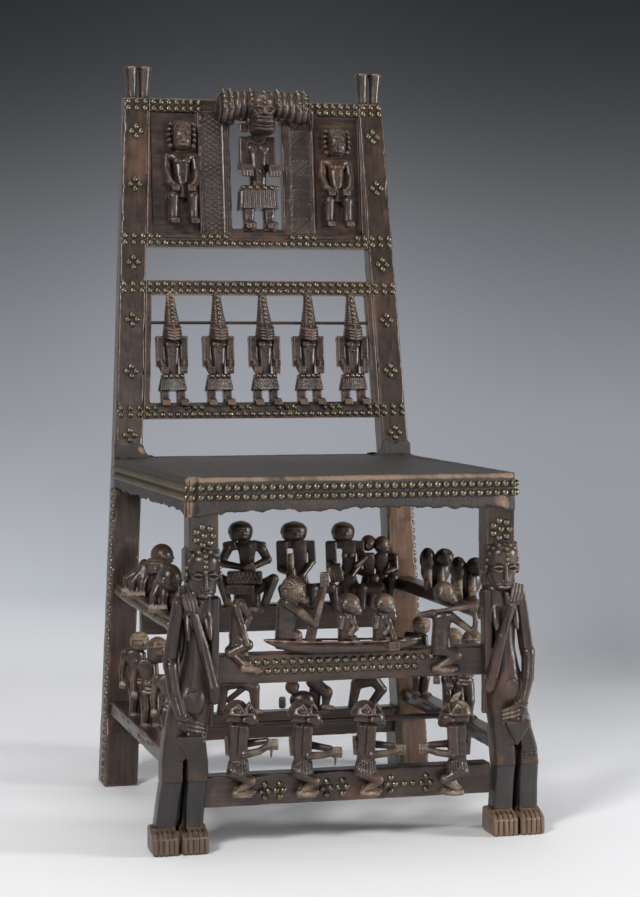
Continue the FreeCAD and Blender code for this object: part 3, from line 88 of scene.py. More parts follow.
class Field:
    """Carving as a signed distance field, in millimetres. Forms are given in the current place:
    an origin, a turn and a scale, so that one set of shares carves a figure of any size."""

    def __init__(self, low, high, step=None):
        self.step = step or FINE
        self.axes = [np.arange(low[i], high[i] + self.step, self.step, dtype=np.float32) for i in range(3)]
        self.d = np.full([len(a) for a in self.axes], FAR, np.float32)
        self.spots = []
        self.tacks = []
        self.worn = 0.35
        self.outer = []
        self.at((0, 0, 0))

    def at(self, origin, turn=(0, 0, 0), scale=1.0, mirror=False):
        """Sets the place that the next forms are given in. Mirror flips them in X."""
        self.origin = np.array(origin, float)
        self.rot = rotation(turn)
        self.scale = scale
        self.flip = np.diag([-1.0 if mirror else 1.0, 1.0, 1.0])
        return self

    def nest(self, centre, turn=(0, 0, 0), scale=1.0):
        """Gives the next forms in a place inside the current one, until back()."""
        self.outer.append((self.origin, self.rot, self.scale, self.flip))
        self.origin = self.world(centre)
        self.rot = self.rot @ self.flip @ rotation(turn)
        self.scale = self.scale * scale
        self.flip = np.eye(3)

    def back(self):
        self.origin, self.rot, self.scale, self.flip = self.outer.pop()

    def world(self, p):
        return self.origin + self.rot @ self.flip @ (np.array(p, float) * self.scale)

    def region(self, centre, turn, half, margin):
        """The slice of the grid that a local box covers, and its coordinates there."""
        rot = self.rot @ self.flip @ rotation(turn)
        mid = self.world(centre)
        reach = np.abs(rot) @ (np.array(half, float) * self.scale) + margin
        cut = []
        for i in range(3):
            a = self.axes[i]
            low = max(int((mid[i] - reach[i] - a[0]) / self.step), 0)
            high = min(int((mid[i] + reach[i] - a[0]) / self.step) + 2, len(a))
            if high <= low:
                return None, None
            cut.append(slice(low, high))
        g = [(self.axes[i][cut[i]] - mid[i]).astype(np.float32) for i in range(3)]
        r = rot.astype(np.float32)
        local = [
            (r[0, j] * g[0])[:, None, None] + (r[1, j] * g[1])[None, :, None]
            + (r[2, j] * g[2])[None, None, :] for j in range(3)
        ]
        return tuple(cut), local

    def merge(self, cut, dist, k, hollow):
        old = self.d[cut]
        if hollow:
            self.d[cut] = -soft_min(-old, dist, k)
        else:
            self.d[cut] = soft_min(old, dist, k)

    def ball(self, centre, radii, k=1.5, turn=(0, 0, 0), hollow=False):
        cut, p = self.region(centre, turn, radii, k + 2)
        if cut is None:
            return
        r = [max(v * self.scale, LEAST_RADIUS) for v in radii]
        k0 = np.sqrt((p[0] / r[0]) ** 2 + (p[1] / r[1]) ** 2 + (p[2] / r[2]) ** 2)
        k1 = np.sqrt((p[0] / r[0] ** 2) ** 2 + (p[1] / r[1] ** 2) ** 2 + (p[2] / r[2] ** 2) ** 2)
        self.merge(cut, k0 * (k0 - 1) / np.maximum(k1, 1e-6), k, hollow)

    def block(self, centre, half, k=0.8, turn=(0, 0, 0), edge=1.0, hollow=False):
        """A box with rounded edges."""
        cut, p = self.region(centre, turn, half, k + 2)
        if cut is None:
            return
        e = min(edge, min(half) * self.scale * 0.95)
        q = [np.abs(p[i]) - (half[i] * self.scale - e) for i in range(3)]
        self.merge(cut, box_distance(q) - e, k, hollow)

    def limb(self, points, k=1.2, flat=1.0, hollow=False):
        """Tapering lengths through (x, y, z, radius). Flat squeezes them along the view axis Y."""
        for a, b in zip(points, points[1:]):
            pa, pb = np.array(a[:3], float), np.array(b[:3], float)
            big = max(a[3], b[3])
            mid = (pa + pb) / 2
            half = np.abs(pb - pa) / 2 + big
            cut, p = self.region(mid, (0, 0, 0), half, k + 2)
            if cut is None:
                continue
            s = self.scale
            axis = (pb - pa) * s
            start = (pa - mid) * s
            squeeze = 1.0 / flat
            q = [p[0] - start[0], (p[1] - start[1]) * squeeze, p[2] - start[2]]
            axis = axis * np.array([1, squeeze, 1])
            length = max(float(axis @ axis), 1e-6)
            h = np.clip((q[0] * axis[0] + q[1] * axis[1] + q[2] * axis[2]) / length, 0, 1)
            far = np.sqrt(
                (q[0] - h * axis[0]) ** 2 + (q[1] - h * axis[1]) ** 2 + (q[2] - h * axis[2]) ** 2
            )
            self.merge(cut, far - (a[3] + (b[3] - a[3]) * h) * s, k, hollow)

    def loft(self, rings, k=1.0, power=2.5, turn=(0, 0, 0), base=(0, 0, 0), flutes=None, ridges=None,
             pleats=None, hollow=False, smooth=False):
        """A stack of rounded sections (height, half width, half depth, x, y) with optional
        flutes (count, depth, low, high) round it, ridges (pitch, depth, low, high) along it
        and straight pleats (pitch, depth, low, high) on its faces. A pleat's pitch is in mm."""
        rings = np.array([tuple(r) + (0,) * (5 - len(r)) for r in rings], float)
        z = rings[:, 0]
        mid = np.array([0, 0, (z[0] + z[-1]) / 2])
        reach = max(np.abs(rings[:, 3]).max() + rings[:, 1].max(), 0.001)
        deep = max(np.abs(rings[:, 4]).max() + rings[:, 2].max(), 0.001)
        half = (reach, deep, (z[-1] - z[0]) / 2)
        centre = np.array(base, float) + rotation(turn) @ mid
        cut, p = self.region(centre, turn, half, k + 2)
        if cut is None:
            return
        s = self.scale
        up = p[2] / s + mid[2]
        if smooth:
            fine = np.linspace(z[0], z[-1], 80)
            table = [catmull(z, rings[:, i], fine) for i in range(1, 5)]
        else:
            fine = z
            table = [rings[:, i] for i in range(1, 5)]
        rx, ry, cx, cy = (np.interp(up, fine, t).astype(np.float32) * s for t in table)
        x, y = (p[0] - cx) / rx, (p[1] - cy) / ry
        side = (np.abs(x) ** power + np.abs(y) ** power) ** (1 / power) - 1
        dist = side * np.minimum(rx, ry)
        waves = (
            (flutes, lambda count, low: np.sqrt(0.5 - 0.5 * np.cos(count * np.arctan2(y, x)))),
            (ridges, lambda pitch, low: np.abs(np.sin(np.pi * (up - low) / pitch))),
            (pleats, lambda pitch, low: np.abs(
                np.sin(np.pi * np.where(np.abs(x) > np.abs(y), p[1], p[0]) / pitch))),
        )
        for marks, wave in waves:
            if marks:
                pitch, depth, low, high = marks
                inside = (up > low) & (up < high)
                dist = dist + np.where(inside, depth * (1 - wave(pitch, low)), 0)
        cap = np.maximum((z[0] - up) * s, (up - z[-1]) * s)
        dist = -soft_min(-dist, -cap, CAP_SOFTNESS)
        self.merge(cut, dist, k, hollow)

    def prism(self, rings, edge=1.0, k=0.8, hollow=False, turn=(0, 0, 0), base=(0, 0, 0)):
        """A straight timber through rectangular sections (height, x0, x1, y0, y1)."""
        rings = np.array(rings, float)
        z = rings[:, 0]
        mid = np.array([(rings[:, 1].min() + rings[:, 2].max()) / 2,
                        (rings[:, 3].min() + rings[:, 4].max()) / 2, (z[0] + z[-1]) / 2])
        half = np.array([(rings[:, 2].max() - rings[:, 1].min()) / 2,
                         (rings[:, 4].max() - rings[:, 3].min()) / 2, (z[-1] - z[0]) / 2])
        cut, p = self.region(np.array(base, float) + rotation(turn) @ mid, turn, half, k + 2)
        if cut is None:
            return
        s = self.scale
        up = p[2] / s + mid[2]
        x0, x1, y0, y1 = (np.interp(up, z, rings[:, i]).astype(np.float32) for i in range(1, 5))
        q = [
            np.abs(p[0] + (mid[0] - (x0 + x1) / 2) * s) - ((x1 - x0) / 2 * s - edge),
            np.abs(p[1] + (mid[1] - (y0 + y1) / 2) * s) - ((y1 - y0) / 2 * s - edge),
            np.abs(p[2]) - (half[2] * s - edge),
        ]
        self.merge(cut, box_distance(q) - edge, k, hollow)

    def groove(self, points, k=0.3, flat=1.0):
        """A carved line through (x, y, z, radius)."""
        self.limb(points, k, flat, hollow=True)

    def spot(self, centre, reach, amount=1.0):
        """A place worn to bare, paler wood."""
        self.spots.append((self.world(centre), reach * self.scale, amount * self.worn))

    def tack(self, centre, out, size=3.2):
        """A small brass tack on a figure."""
        self.tacks.append((self.world(centre), self.rot @ self.flip @ np.array(out, float), size))

    def rough(self, amount, grain=9.0, seed=1):
        """Uneven tool marks over everything carved so far."""
        rng = np.random.default_rng(seed)
        total = 0
        for size, share in ((grain, 0.65), (grain * 0.42, 0.35)):
            n = [int(len(a) * self.step / size) + 3 for a in self.axes]
            lattice = rng.uniform(-1, 1, n).astype(np.float32)
            for axis in range(3):
                where = (self.axes[axis] - self.axes[axis][0]) / size
                low = np.floor(where).astype(int)
                t = (where - low).astype(np.float32)
                t = t * t * (3 - 2 * t)
                shape = [1, 1, 1]
                shape[axis] = len(t)
                t = t.reshape(shape)
                lattice = np.take(lattice, low, axis) * (1 - t) + np.take(lattice, low + 1, axis) * t
            total = total + lattice * share
        self.d += total * amount
        return self

    def surface(self):
        """Vertices, quads and the two shares of the carved surface for its wear and its painted cut shade."""
        d = self.d
        inside = d < 0
        for axis in range(3):
            edge = [slice(None)] * 3
            for end in (0, -1):
                edge[axis] = end
                inside[tuple(edge)] = False
                d[tuple(edge)] = np.maximum(d[tuple(edge)], 0.2)
        count = np.zeros([n - 1 for n in d.shape], np.int8)
        corners = [(i, j, k) for i in (0, 1) for j in (0, 1) for k in (0, 1)]
        shape = d.shape
        for i, j, k in corners:
            count += inside[i:shape[0] - 1 + i, j:shape[1] - 1 + j, k:shape[2] - 1 + k]
        cells = np.argwhere((count > 0) & (count < 8))
        total = np.zeros((len(cells), 3), np.float32)
        crossings = np.zeros(len(cells), np.float32)
        for axis in range(3):
            for b in (0, 1):
                for c in (0, 1):
                    offset = np.zeros(3, int)
                    offset[(axis + 1) % 3], offset[(axis + 2) % 3] = b, c
                    p = cells + offset
                    q = p.copy()
                    q[:, axis] += 1
                    dp, dq = d[tuple(p.T)], d[tuple(q.T)]
                    hit = (dp < 0) != (dq < 0)
                    t = np.where(hit, dp / np.where(hit, dp - dq, 1), 0)
                    part = offset.astype(np.float32) + np.zeros((len(cells), 3), np.float32)
                    part[:, axis] += t
                    total += part * hit[:, None]
                    crossings += hit
        grid = cells + total / np.maximum(crossings, 1)[:, None]
        index = np.full(count.shape, -1, np.int32)
        index[tuple(cells.T)] = np.arange(len(cells))
        quads = []
        for axis in range(3):
            b, c = (axis + 1) % 3, (axis + 2) % 3
            low = [slice(1, -1)] * 3
            high = [slice(1, -1)] * 3
            low[axis], high[axis] = slice(0, -1), slice(1, None)
            first, second = inside[tuple(low)], inside[tuple(high)]
            where = np.argwhere(first != second)
            start = where + np.array([0 if i == axis else 1 for i in range(3)])
            eb, ec = np.eye(3, dtype=int)[b], np.eye(3, dtype=int)[c]
            ring = [index[tuple((start - s).T)] for s in (eb + ec, ec, 0 * eb, eb)]
            quad = np.stack(ring, 1)
            out = first[tuple(where.T)]
            quad[~out] = quad[~out][:, ::-1]
            quads.append(quad)
        quads = np.concatenate(quads)
        low = np.array([a[0] for a in self.axes], np.float32)
        points = low + grid * self.step
        return points, quads, self.wear_and_cut_shade(cells, points)

    def wear_and_cut_shade(self, cells, points):
        """How much each vertex stands out from or lies in the form around it, for worn edges and painted cut
        shade, and its worn spots.
        """
        near = np.clip(self.d, -WEAR_AND_SHADE_DEPTH, WEAR_AND_SHADE_DEPTH)
        width = max(int(round(WEAR_AND_SHADE_REACH / self.step)), 1)
        soft = near
        for axis in range(3):
            total = np.zeros_like(soft)
            for shift in range(-width, width + 1):
                total += np.roll(soft, shift, axis)
            soft = total / (2 * width + 1)
        edge = soft[tuple(cells.T)] - near[tuple(cells.T)]
        spots = np.zeros(len(points), np.float32)
        for centre, reach, amount in self.spots:
            far = np.linalg.norm(points - centre.astype(np.float32), axis=1) / reach
            spots = np.maximum(spots, amount * np.exp(-far ** 2 * 1.2))
        return edge.astype(np.float32), spots


def catmull(x, y, at):
    """A smooth curve through the ring values."""
    slope = np.gradient(y, x)
    i = np.clip(np.searchsorted(x, at) - 1, 0, len(x) - 2)
    width = x[i + 1] - x[i]
    t = (at - x[i]) / width
    return (
        (2 * t**3 - 3 * t**2 + 1) * y[i]
        + (t**3 - 2 * t**2 + t) * width * slope[i]
        + (-2 * t**3 + 3 * t**2) * y[i + 1]
        + (t**3 - t**2) * width * slope[i + 1]
    )


# Small carved parts that many figures share


def eye(f, centre, half, high, k=0.4):
    """A raised almond with a double rim and a slit."""
    x, y, z = centre
    f.ball((x, y + half * 0.45, z), (half, half * 0.62, high), k)
    s = f.scale
    for side in (-1, 1):
        line = [(x + t * half, y + half * 0.2 + half * 0.42 * t * t, z + side * high * 0.62 * (1 - t * t),
                 0.45 / s) for t in (-1, -0.5, 0, 0.5, 1)]
        f.limb(line, 0.2)
    f.groove(both_ways((half * 0.72, y + half * 0.3, z, 0.55 / s), (0, y - half * 0.1, z, 0.85 / s), about=x))


def fingers(f, centre, half, turn, count=4, deep=0.9):
    """A flat hand with grooves between its fingers. The fingers run along local Z."""
    f.block(centre, half, 0.8, turn, min(half) * f.scale * 0.7)
    rot = rotation(turn)
    for i in range(1, count):
        x = half[0] * (2 * i / count - 1)
        low = rot @ np.array([x, -half[1], -half[2] * 0.15])
        high = rot @ np.array([x * 1.04, -half[1], half[2] * 1.05])
        r = deep / f.scale
        f.groove([(*(np.array(centre) + low), r), (*(np.array(centre) + high), r)])


def small_foot(f, centre, half, toes=4, worn=0.5):
    """A rounded foot seen from the front, its toes as short upright rolls."""
    x, y, z = centre
    f.ball((x, y + half[1] * 0.2, z + half[2] * 0.1), (half[0] * 0.95, half[1] * 0.85, half[2] * 0.85), 0.6)
    r = half[0] * 0.98 / toes
    for i in range(toes):
        at = x + half[0] * 0.84 * (2 * (i + 0.5) / toes - 1)
        f.limb([(at, y - half[1] * 0.3, z + half[2] * 0.5, r), (at, y - half[1] * 0.78, z, r * 1.1),
                (at, y - half[1] * 0.78, z - half[2] * 0.62, r)], 0.2)
    f.spot((x, y - half[1] * 0.7, z), max(half) * 1.2, worn)


# The women of the front legs


def woman(f, side, knee, ankle):
    """A front leg: a square post over a woman with one hand at her chin and one on her belly.
    X runs out from the middle of the post, Y back from its front face."""
    f.at((side * 184.25, -270.2, 0), mirror=side < 0)
    f.worn = 1.0
    f.block((0, 16, 404.25), (17.75, 16, 42.25), 0.5, edge=1.2)
    if side > 0:
        f.at((187.5, -270.2, 0))
    f.block((4, 28, 235), (21, 4, 84), 1.5, edge=2)
    trunk = [(112, 24, 15, 20, 30), (135, 25.5, 18, 18, 29), (160, 26, 20, 15, 28),
             (186, 23.5, 21.5, 11.5, 25), (215, 17, 18.5, 9.5, 23), (245, 12.5, 14.5, 7.5, 21),
             (272, 14, 13.5, 6, 20), (296, 21, 12.5, 4, 19), (306, 20, 11, 4, 18), (312, 9, 9, 2, 17)]
    f.loft(trunk, 1, 2.25, smooth=True)
    for x in (-6, 17):
        f.loft([(-19, 1.6, 1.6), (-9, 4.4, 4.2), (6, 6, 5.2), (16, 5.5, 4.2)], 2.5, 2,
               (-22, 6 * (1 if x < 0 else -1), 0), (x, 7.5, 274), smooth=True)
    f.ball((14, 7.5, 182), (13, 6, 15), 6)
    f.tack((12.5, 2.0, 187), (0, -1, 0.1), 3.0)
    for i in range(3):
        f.groove([(5 + i, 3.2, 193 + i * 3.4, 0.6), (19 - i, 3.2, 193 + i * 3.4, 0.6)])
    # arms
    f.limb([(26, 18, 298, 8.6), (31, 19, 270, 8.4), (37, 19, 232, 8.8)], 1.2)
    f.block((32, 18, 268), (6.4, 8.5, 36), 1.2, (0, -9, 0), 3)
    f.ball((37.5, 15, 226), (9, 11, 10), 2)
    f.limb([(37.5, 13, 226, 8.6), (35, 7, 196, 7.6), (27, 3.5, 168, 6.6)], 1.2)
    for shift in (-3.2, 2.6):
        f.limb([(38 + shift, 4.5, 224, 1.2), (35 + shift, -0.4, 196, 1.1),
                (28 + shift * 0.8, -3.2, 170, 1.0)], 0.8)
    f.block((22, 4, 158), (9, 6, 9), 2, (0, 35, 0), 4)
    f.limb([(31, -1.5, 166, 2.2), (24, -2.4, 163, 2.0), (16, -1.5, 166, 1.7)], 0.8)
    for i in range(4):
        f.limb([(19, -0.5, 163 - i * 5.6, 2.9), (11, -1.6, 160.5 - i * 5.4, 2.9),
                (1.5, 0.4, 157 - i * 5, 2.5)], 0.25)
    f.spot((9, -3, 152), 11, 0.45)
    f.block((-15, 17, 250), (5.4, 9, 56), 1, (0, -1, 0), 3)
    f.limb([(-17, 18, 300, 7.5), (-17, 17, 288, 7)], 2)
    f.limb([(-14, 12, 186, 8.0), (-12, 7, 200, 7.5), (0, 3.4, 248, 6.6), (11, 1.2, 286, 5.4)], 1)
    f.limb([(-8, -0.5, 200, 1.4), (5, -3.2, 262, 1.2), (13, -4, 292, 1.0)], 1)
    f.block((15, 1.6, 300), (8.4, 4.0, 13.0), 1.0, (0, 12, 0), 3)
    for i in range(4):
        f.limb([(8.4 + i * 4.3, -2.4, 292 + i * 0.8, 2.3), (10.8 + i * 4.4, -2.2, 303, 2.35),
                (12.8 + i * 3.9, -1.2, 313.5 - i * 0.8, 1.9)], 0.3)
    f.spot((15, -4, 302), 12, 0.42)
    f.limb([(6, -1, 290, 2.6), (3.2, -3.5, 302, 2.4)], 0.6)
    # apron and legs
    f.loft([(117, 2, 3), (130, 9, 6), (140, 14.5, 8), (146, 17, 8)], 0.6, 4, (6, 0, 0), (18.6, 13, 0))
    for x in (1.5, 35.5):
        f.groove([(x, 4.5, 149, 2.2), ((x + 18.5) / 2, 7, 131, 2.0), (18.5, 10, 114, 1.6)])
    for out, half in ((44.4, 15.1), (8.4, 16.2)):
        f.block((out, 39, 15.5), (half - 0.6, 18, 15), 1.2, (0, 0, 0), 4)
        f.block((out, 33, 8), (half - 0.8, 18, 7.6), 1, (0, 0, 0), 2.5)
        for i in range(5):
            x = out + half * (i - 2) * 0.395
            r = half * 0.255
            tip = 0.8 * abs(i - 2)
            f.limb([(x, 36, 28.5, r), (x, 17, 23.0 - tip * 0.5, r), (x, 12.4 + tip * 0.7, 18.5, r),
                    (x, 11.8 + tip * 0.7, 3.9, r)], 0.3)
            f.limb([(x - r * 0.4, 9.3 + tip * 0.7, 16, 0.5), (x - r * 0.4, 9.0 + tip * 0.7, 4, 0.5)], 0.3)
        f.spot((out, 14, 14), 22, 0.46)
    for up, out, back in ((knee[0], ankle[0], 1), (knee[1], ankle[1], -1)):
        thigh = 33 if back > 0 else 6
        f.loft([(22, 13, 14.5, out, 40), (60, 12.6, 14.5, (out + up) / 2, 37), (86, 12.8, 15, up, 34.5)], 0.6,
               5)
        f.loft([(85.5, 13.5, 16, up, 34.2), (108, 13.8, 16, (up * 2 + thigh) / 3, 32.5),
                (132, 12.5, 15, thigh, 30), (150, 9, 12, thigh, 29)], 0.8, 5)
    f.loft([(22, 13, 3.5, (ankle[0] + ankle[1]) / 2, 0), (128, 9, 3.5, (knee[0] + knee[1]) / 2, 0)], 0.5, 5,
           base=(0, 50, 0))
    f.loft([(26, 3, 12), (70, 2.6, 11), (110, 2.2, 9), (122, 1.2, 6)], 0.5, 2.5, (0, 0, 0),
           ((knee[0] + knee[1]) / 2 + 1, 22, 0), hollow=True)
    if side > 0:
        for i in range(6):
            f.groove([(knee[0] - 12, 18.2, 90 + i * 4, 0.7), (knee[0] + 12, 18.2, 90 + i * 4, 0.7)])
    # head: hair block, face and forehead
    f.block((0, 18, 345), (21.5, 14, 20), 1, (0, 0, 0), 4.5)
    f.block((0, 22, 322), (18, 12, 14), 3, (0, 0, 0), 6)
    for x in (-1, 1):
        for i in range(4):
            f.groove([(x * 21.9, 6 + i * 6.5, 328, 0.8), (x * 21.9, 8 + i * 6.5, 363, 0.8)])
        f.ball((x * 20.5, 6, 331), (2.6, 4.5, 5.5), 1)
    f.loft([(305, 6, 6, 0, 3), (308, 9.5, 10.5, 0, 3), (314, 13, 14, 0, 5), (323, 16.4, 16, 0, 7),
            (334, 18.2, 17.5, 0, 7), (346, 19.2, 19, 0, 7), (357, 17.5, 17, 0, 8), (363, 12, 12, 0, 10)], 1,
           2.15, smooth=True)
    f.ball((0, -3, 350), (14.5, 9.5, 11.5), 4)
    f.limb(both_ways((17, 1, 338.5, 1.4), (9, -8.6, 341.5, 1.7), (0, -11.2, 339.5, 1.6)), 1.0)
    for x in (-1, 1):
        f.ball((x * 9, -11.0, 333.0), (7.2, 3.6, 4.8), 1.5, hollow=True)
        eye(f, (x * 9, -8.2, 333.0), 7.8, 4.2)
        f.groove(both_ways((6.4, -10.2, 333, 0.9), (0, -12.6, 332.6, 1.5), about=x * 9))
        for up in (-1, 1):
            f.limb(both_ways((7.4, -9.4, 333 + up * 0.7, 0.95), (0, -12.4, 332.8 + up * 3.5, 1.35),
                             about=x * 9), 0.25)
        f.spot((x * 9, -12, 333), 6.5, 0.3)
    f.limb([(0, -10.8, 339, 1.9), (0, -12.0, 327, 2.1), (0, -13.0, 319, 3.0)], 0.8)
    for x in (-1, 1):
        f.ball((x * 3.1, -10.6, 317.8), (2.5, 2.8, 2), 0.8)
        f.groove([(x * 5.5, -9.5, 321, 0.6), (x * 8, -6.6, 314, 0.6)])
    f.limb(both_ways((9.0, -4.8, 312.8, 1.5), (0, -10.4, 314.4, 2.3)), 0.6)
    f.limb(both_ways((7.6, -5.2, 309.8, 1.3), (0, -9.8, 309.8, 2.1)), 0.6)
    f.groove(both_ways((7.8, -6.8, 311.6, 0.8), (0, -11.6, 312.0, 1.0)))
    f.spot((0, -11, 312), 7, 0.22)
    # tacks at the hairline and down the forehead
    for x, y, z in ((0, -4.5, 362), (7, -4.2, 361), (13.2, -2.0, 357.5), (17.2, 1.0, 351), (19.4, 3.0, 343),
                    (20.2, 3.5, 335)):
        for s in (-1, 1):
            f.tack((s * x, y - 0.7, z), (s * x * 0.04, -1, 0.25), 6.0)
    for i in range(4):
        f.tack((0.6, -13.1 + 0.8 * abs(i - 1.2), 357 - i * 6.2), (0, -1, 0.15 * (1.5 - i)), 6.0)


# Figures of the back frame


def ridge(f, centre, half, up, back, r, k=0.3):
    """A raised line that rises and falls back towards its ends, as in a ribbed beard."""
    x, y, z = centre
    f.limb([(x + t * half, y + abs(t) ** 2.6 * back, z + t * t * up, r) for t in (-1, -0.75, -0.4, 0, 0.4,
                                                                                  0.75, 1)], k)


def band_chevrons(f, x0, x1, z0, z1, y):
    """Nested chevrons of parallel cuts that point outwards, with others between them."""
    count = 4
    step = (z1 - z0) / count
    wide = x1 - x0
    for i in range(count + 1):
        for j in range(1, 6):
            share = j / 5.3
            rise = step / 2 * share
            middle = z0 + (i + 0.5) * step
            if i < count:
                f.groove([(x0, y, middle - rise, 1.2), (x0 + wide * share, y, middle, 1.2),
                          (x0, y, middle + rise, 1.2)])
            between = z0 + i * step
            ends = [(x1, y, max(between - rise, z0), 1.1), (x1 - wide * share, y, between, 1.1),
                    (x1, y, min(between + rise, z1), 1.1)]
            f.groove(ends[:2] if i == count else ends[1:] if i == 0 else ends)


def chief(f):
    """The figure in the window, with ribbed beard, fluted skirt and square hands."""
    f.loft([(0.186, 0.153, 0.082), (0.205, 0.152, 0.08), (0.33, 0.143, 0.072)], 0.5, 7,
           pleats=(3.0, 1.3, 0.18, 0.325))
    f.loft([(0.325, 0.141, 0.075), (0.362, 0.137, 0.072)], 0.3, 7)
    f.loft([(0.35, 0.06, 0.058, 0, -0.01), (0.42, 0.064, 0.062, 0, -0.014), (0.5, 0.068, 0.068, 0, -0.016),
            (0.62, 0.078, 0.07, 0, -0.012), (0.69, 0.085, 0.06, 0, -0.005), (0.745, 0.07, 0.05)], 0.8, 2.8,
           smooth=True)
    f.block((0, 0.005, 0.712), (0.141, 0.046, 0.026), 1, edge=2.6)
    for side in (-1, 1):
        f.ball((side * 0.046, -0.066, 0.645), (0.04, 0.022, 0.034), 3)
        f.block((side * 0.104, 0.0, 0.6), (0.037, 0.045, 0.135), 0.8, edge=3.0)
        f.block((side * 0.108, -0.055, 0.495), (0.04, 0.08, 0.03), 0.8, (10, 0, side * -4), 3.0)
        fist(f, (side * 0.104, -0.124, 0.455), (0.043, 0.03, 0.044), 0.4)
        f.loft([(0.02, 0.044, 0.05), (0.1, 0.04, 0.046), (0.2, 0.047, 0.054)], 0.8, 3.4, (0, 0, 0),
               (side * 0.078, -0.005, 0))
        for i in range(2):
            ridge(f, (side * 0.078, -0.052, 0.112 + i * 0.018), 0.04, 0, 0.04, 0.006)
        small_foot(f, (side * 0.083, -0.07, 0.056), (0.046, 0.082, 0.04), 5, 0.4)
    f.tack((0.006, -0.08, 0.462), (0, -1, 0), 7.4)
    for x in (-0.127, -0.072, -0.018, 0.041, 0.096, 0.136):
        f.tack((x, -0.074 + 0.02 * (abs(x) > 0.13), 0.344), (0, -1, 0), 7.6 if x > -0.1 else 5.6)
    # the head stands well in front of the window
    f.limb([(0, -0.01, 0.7, 0.055), (0.012, -0.12, 0.79, 0.06)], 1.5)
    x0 = 0.016
    f.loft([(0.73, 0.062, 0.05, x0, -0.125), (0.746, 0.09, 0.076, x0, -0.133),
            (0.78, 0.098, 0.09, x0, -0.137), (0.84, 0.094, 0.092, x0, -0.137),
            (0.9, 0.092, 0.094, x0, -0.137), (0.96, 0.096, 0.102, x0, -0.135),
            (1.01, 0.088, 0.092, x0, -0.13), (1.045, 0.055, 0.06, x0, -0.125)], 0.8, 2.4, smooth=True)
    f.ball((x0, -0.2, 0.972), (0.078, 0.052, 0.052), 3)
    for side in (-1, 1):
        x = x0 + side * 0.047
        f.limb([(x - side * 0.035, -0.24, 0.918, 0.01), (x, -0.238, 0.926, 0.012),
                (x + side * 0.042, -0.195, 0.912, 0.01)], 0.6)
        f.ball((x, -0.24, 0.895), (0.036, 0.018, 0.021), 1, hollow=True)
        eye(f, (x, -0.22, 0.895), 0.038, 0.017)
        f.ball((x0 + side * 0.102, -0.11, 0.84), (0.014, 0.03, 0.034), 1)
        f.block((side * 0.105, -0.02, 0.8), (0.034, 0.045, 0.034), 1, edge=1.5)
    f.limb([(x0, -0.24, 0.915, 0.013), (x0, -0.25, 0.88, 0.022)], 0.8)
    for side in (-1, 1):
        f.ball((x0 + side * 0.026, -0.238, 0.87), (0.02, 0.018, 0.014), 0.6)
    for rise, r, out in ((0.84, 0.015, 0.004), (0.81, 0.016, 0.008), (0.777, 0.0105, 0), (0.754, 0.0095, 0)):
        wide = 0.08 if rise > 0.8 else 0.088
        f.limb(both_ways((wide, -0.178, rise + 0.018, r * 0.6), (wide * 0.6, -0.226 - out, rise + 0.006, r),
                         (0, -0.238 - out, rise, r), about=x0), 0.25)
    f.groove(both_ways((0.066, -0.224, 0.834, 0.0062), (0, -0.254, 0.825, 0.0066), about=x0))
    f.spot((x0, -0.24, 0.825), 0.06, 0.1)
    for i in range(4):
        f.tack((x0, -0.25 + 0.011 * i * (i > 1), 0.95 + i * 0.029), (0, -1, 0.25 * i), 5.0)
    for side in (-1, 1):
        f.tack((x0 + side * 0.026, -0.246, 0.962), (side * 0.2, -1, 0.1), 4.0)


def headdress(f):
    """The big ribbed roll over the chief's head, with its ends rounded and lower.
    X runs along the panel, Z up, the roll's middle is the origin, in millimetres."""
    half = [(71, 8, 8, 7, 3), (68.5, 17, 13, 6, 1), (60, 24.5, 19, 4, 0), (46, 23.5, 20.5, 2.5, 0),
            (32, 21.8, 20.5, 0.3, 0)]
    rings = [(-x, h, d, cx, cy) for x, h, d, cx, cy in half] + [(0, 21.5, 20, 0, 0)]
    rings += [(x, h, d, cx, cy) for x, h, d, cx, cy in reversed(half)]
    f.loft(rings, 1.5, 2.1, (0, 90, 0), smooth=True, ridges=(10.1, 2.6, -65.65, 65.7))
    for side in (-1, 1):
        f.limb([(side * 54, 8, -12, 13), (side * 48, 11, -22, 8)], 2)
        f.groove([(side * 36, -16, -18, 1.4), (side * 44, -15, -22, 1.8), (side * 52, -10, -27, 1.4)])
        for x, count in ((60.6, 5), (50.5, 5), (20.2, 5)):
            for i in range(count):
                a = math.radians(68 - i * 20)
                high, deep = (24, 19.6) if x > 40 else (21.6, 20)
                low = 3.5 if x > 40 else 0
                f.tack((side * x, -deep * math.cos(a), high * math.sin(a) - low),
                       (0, -math.cos(a), math.sin(a)), 6.8)


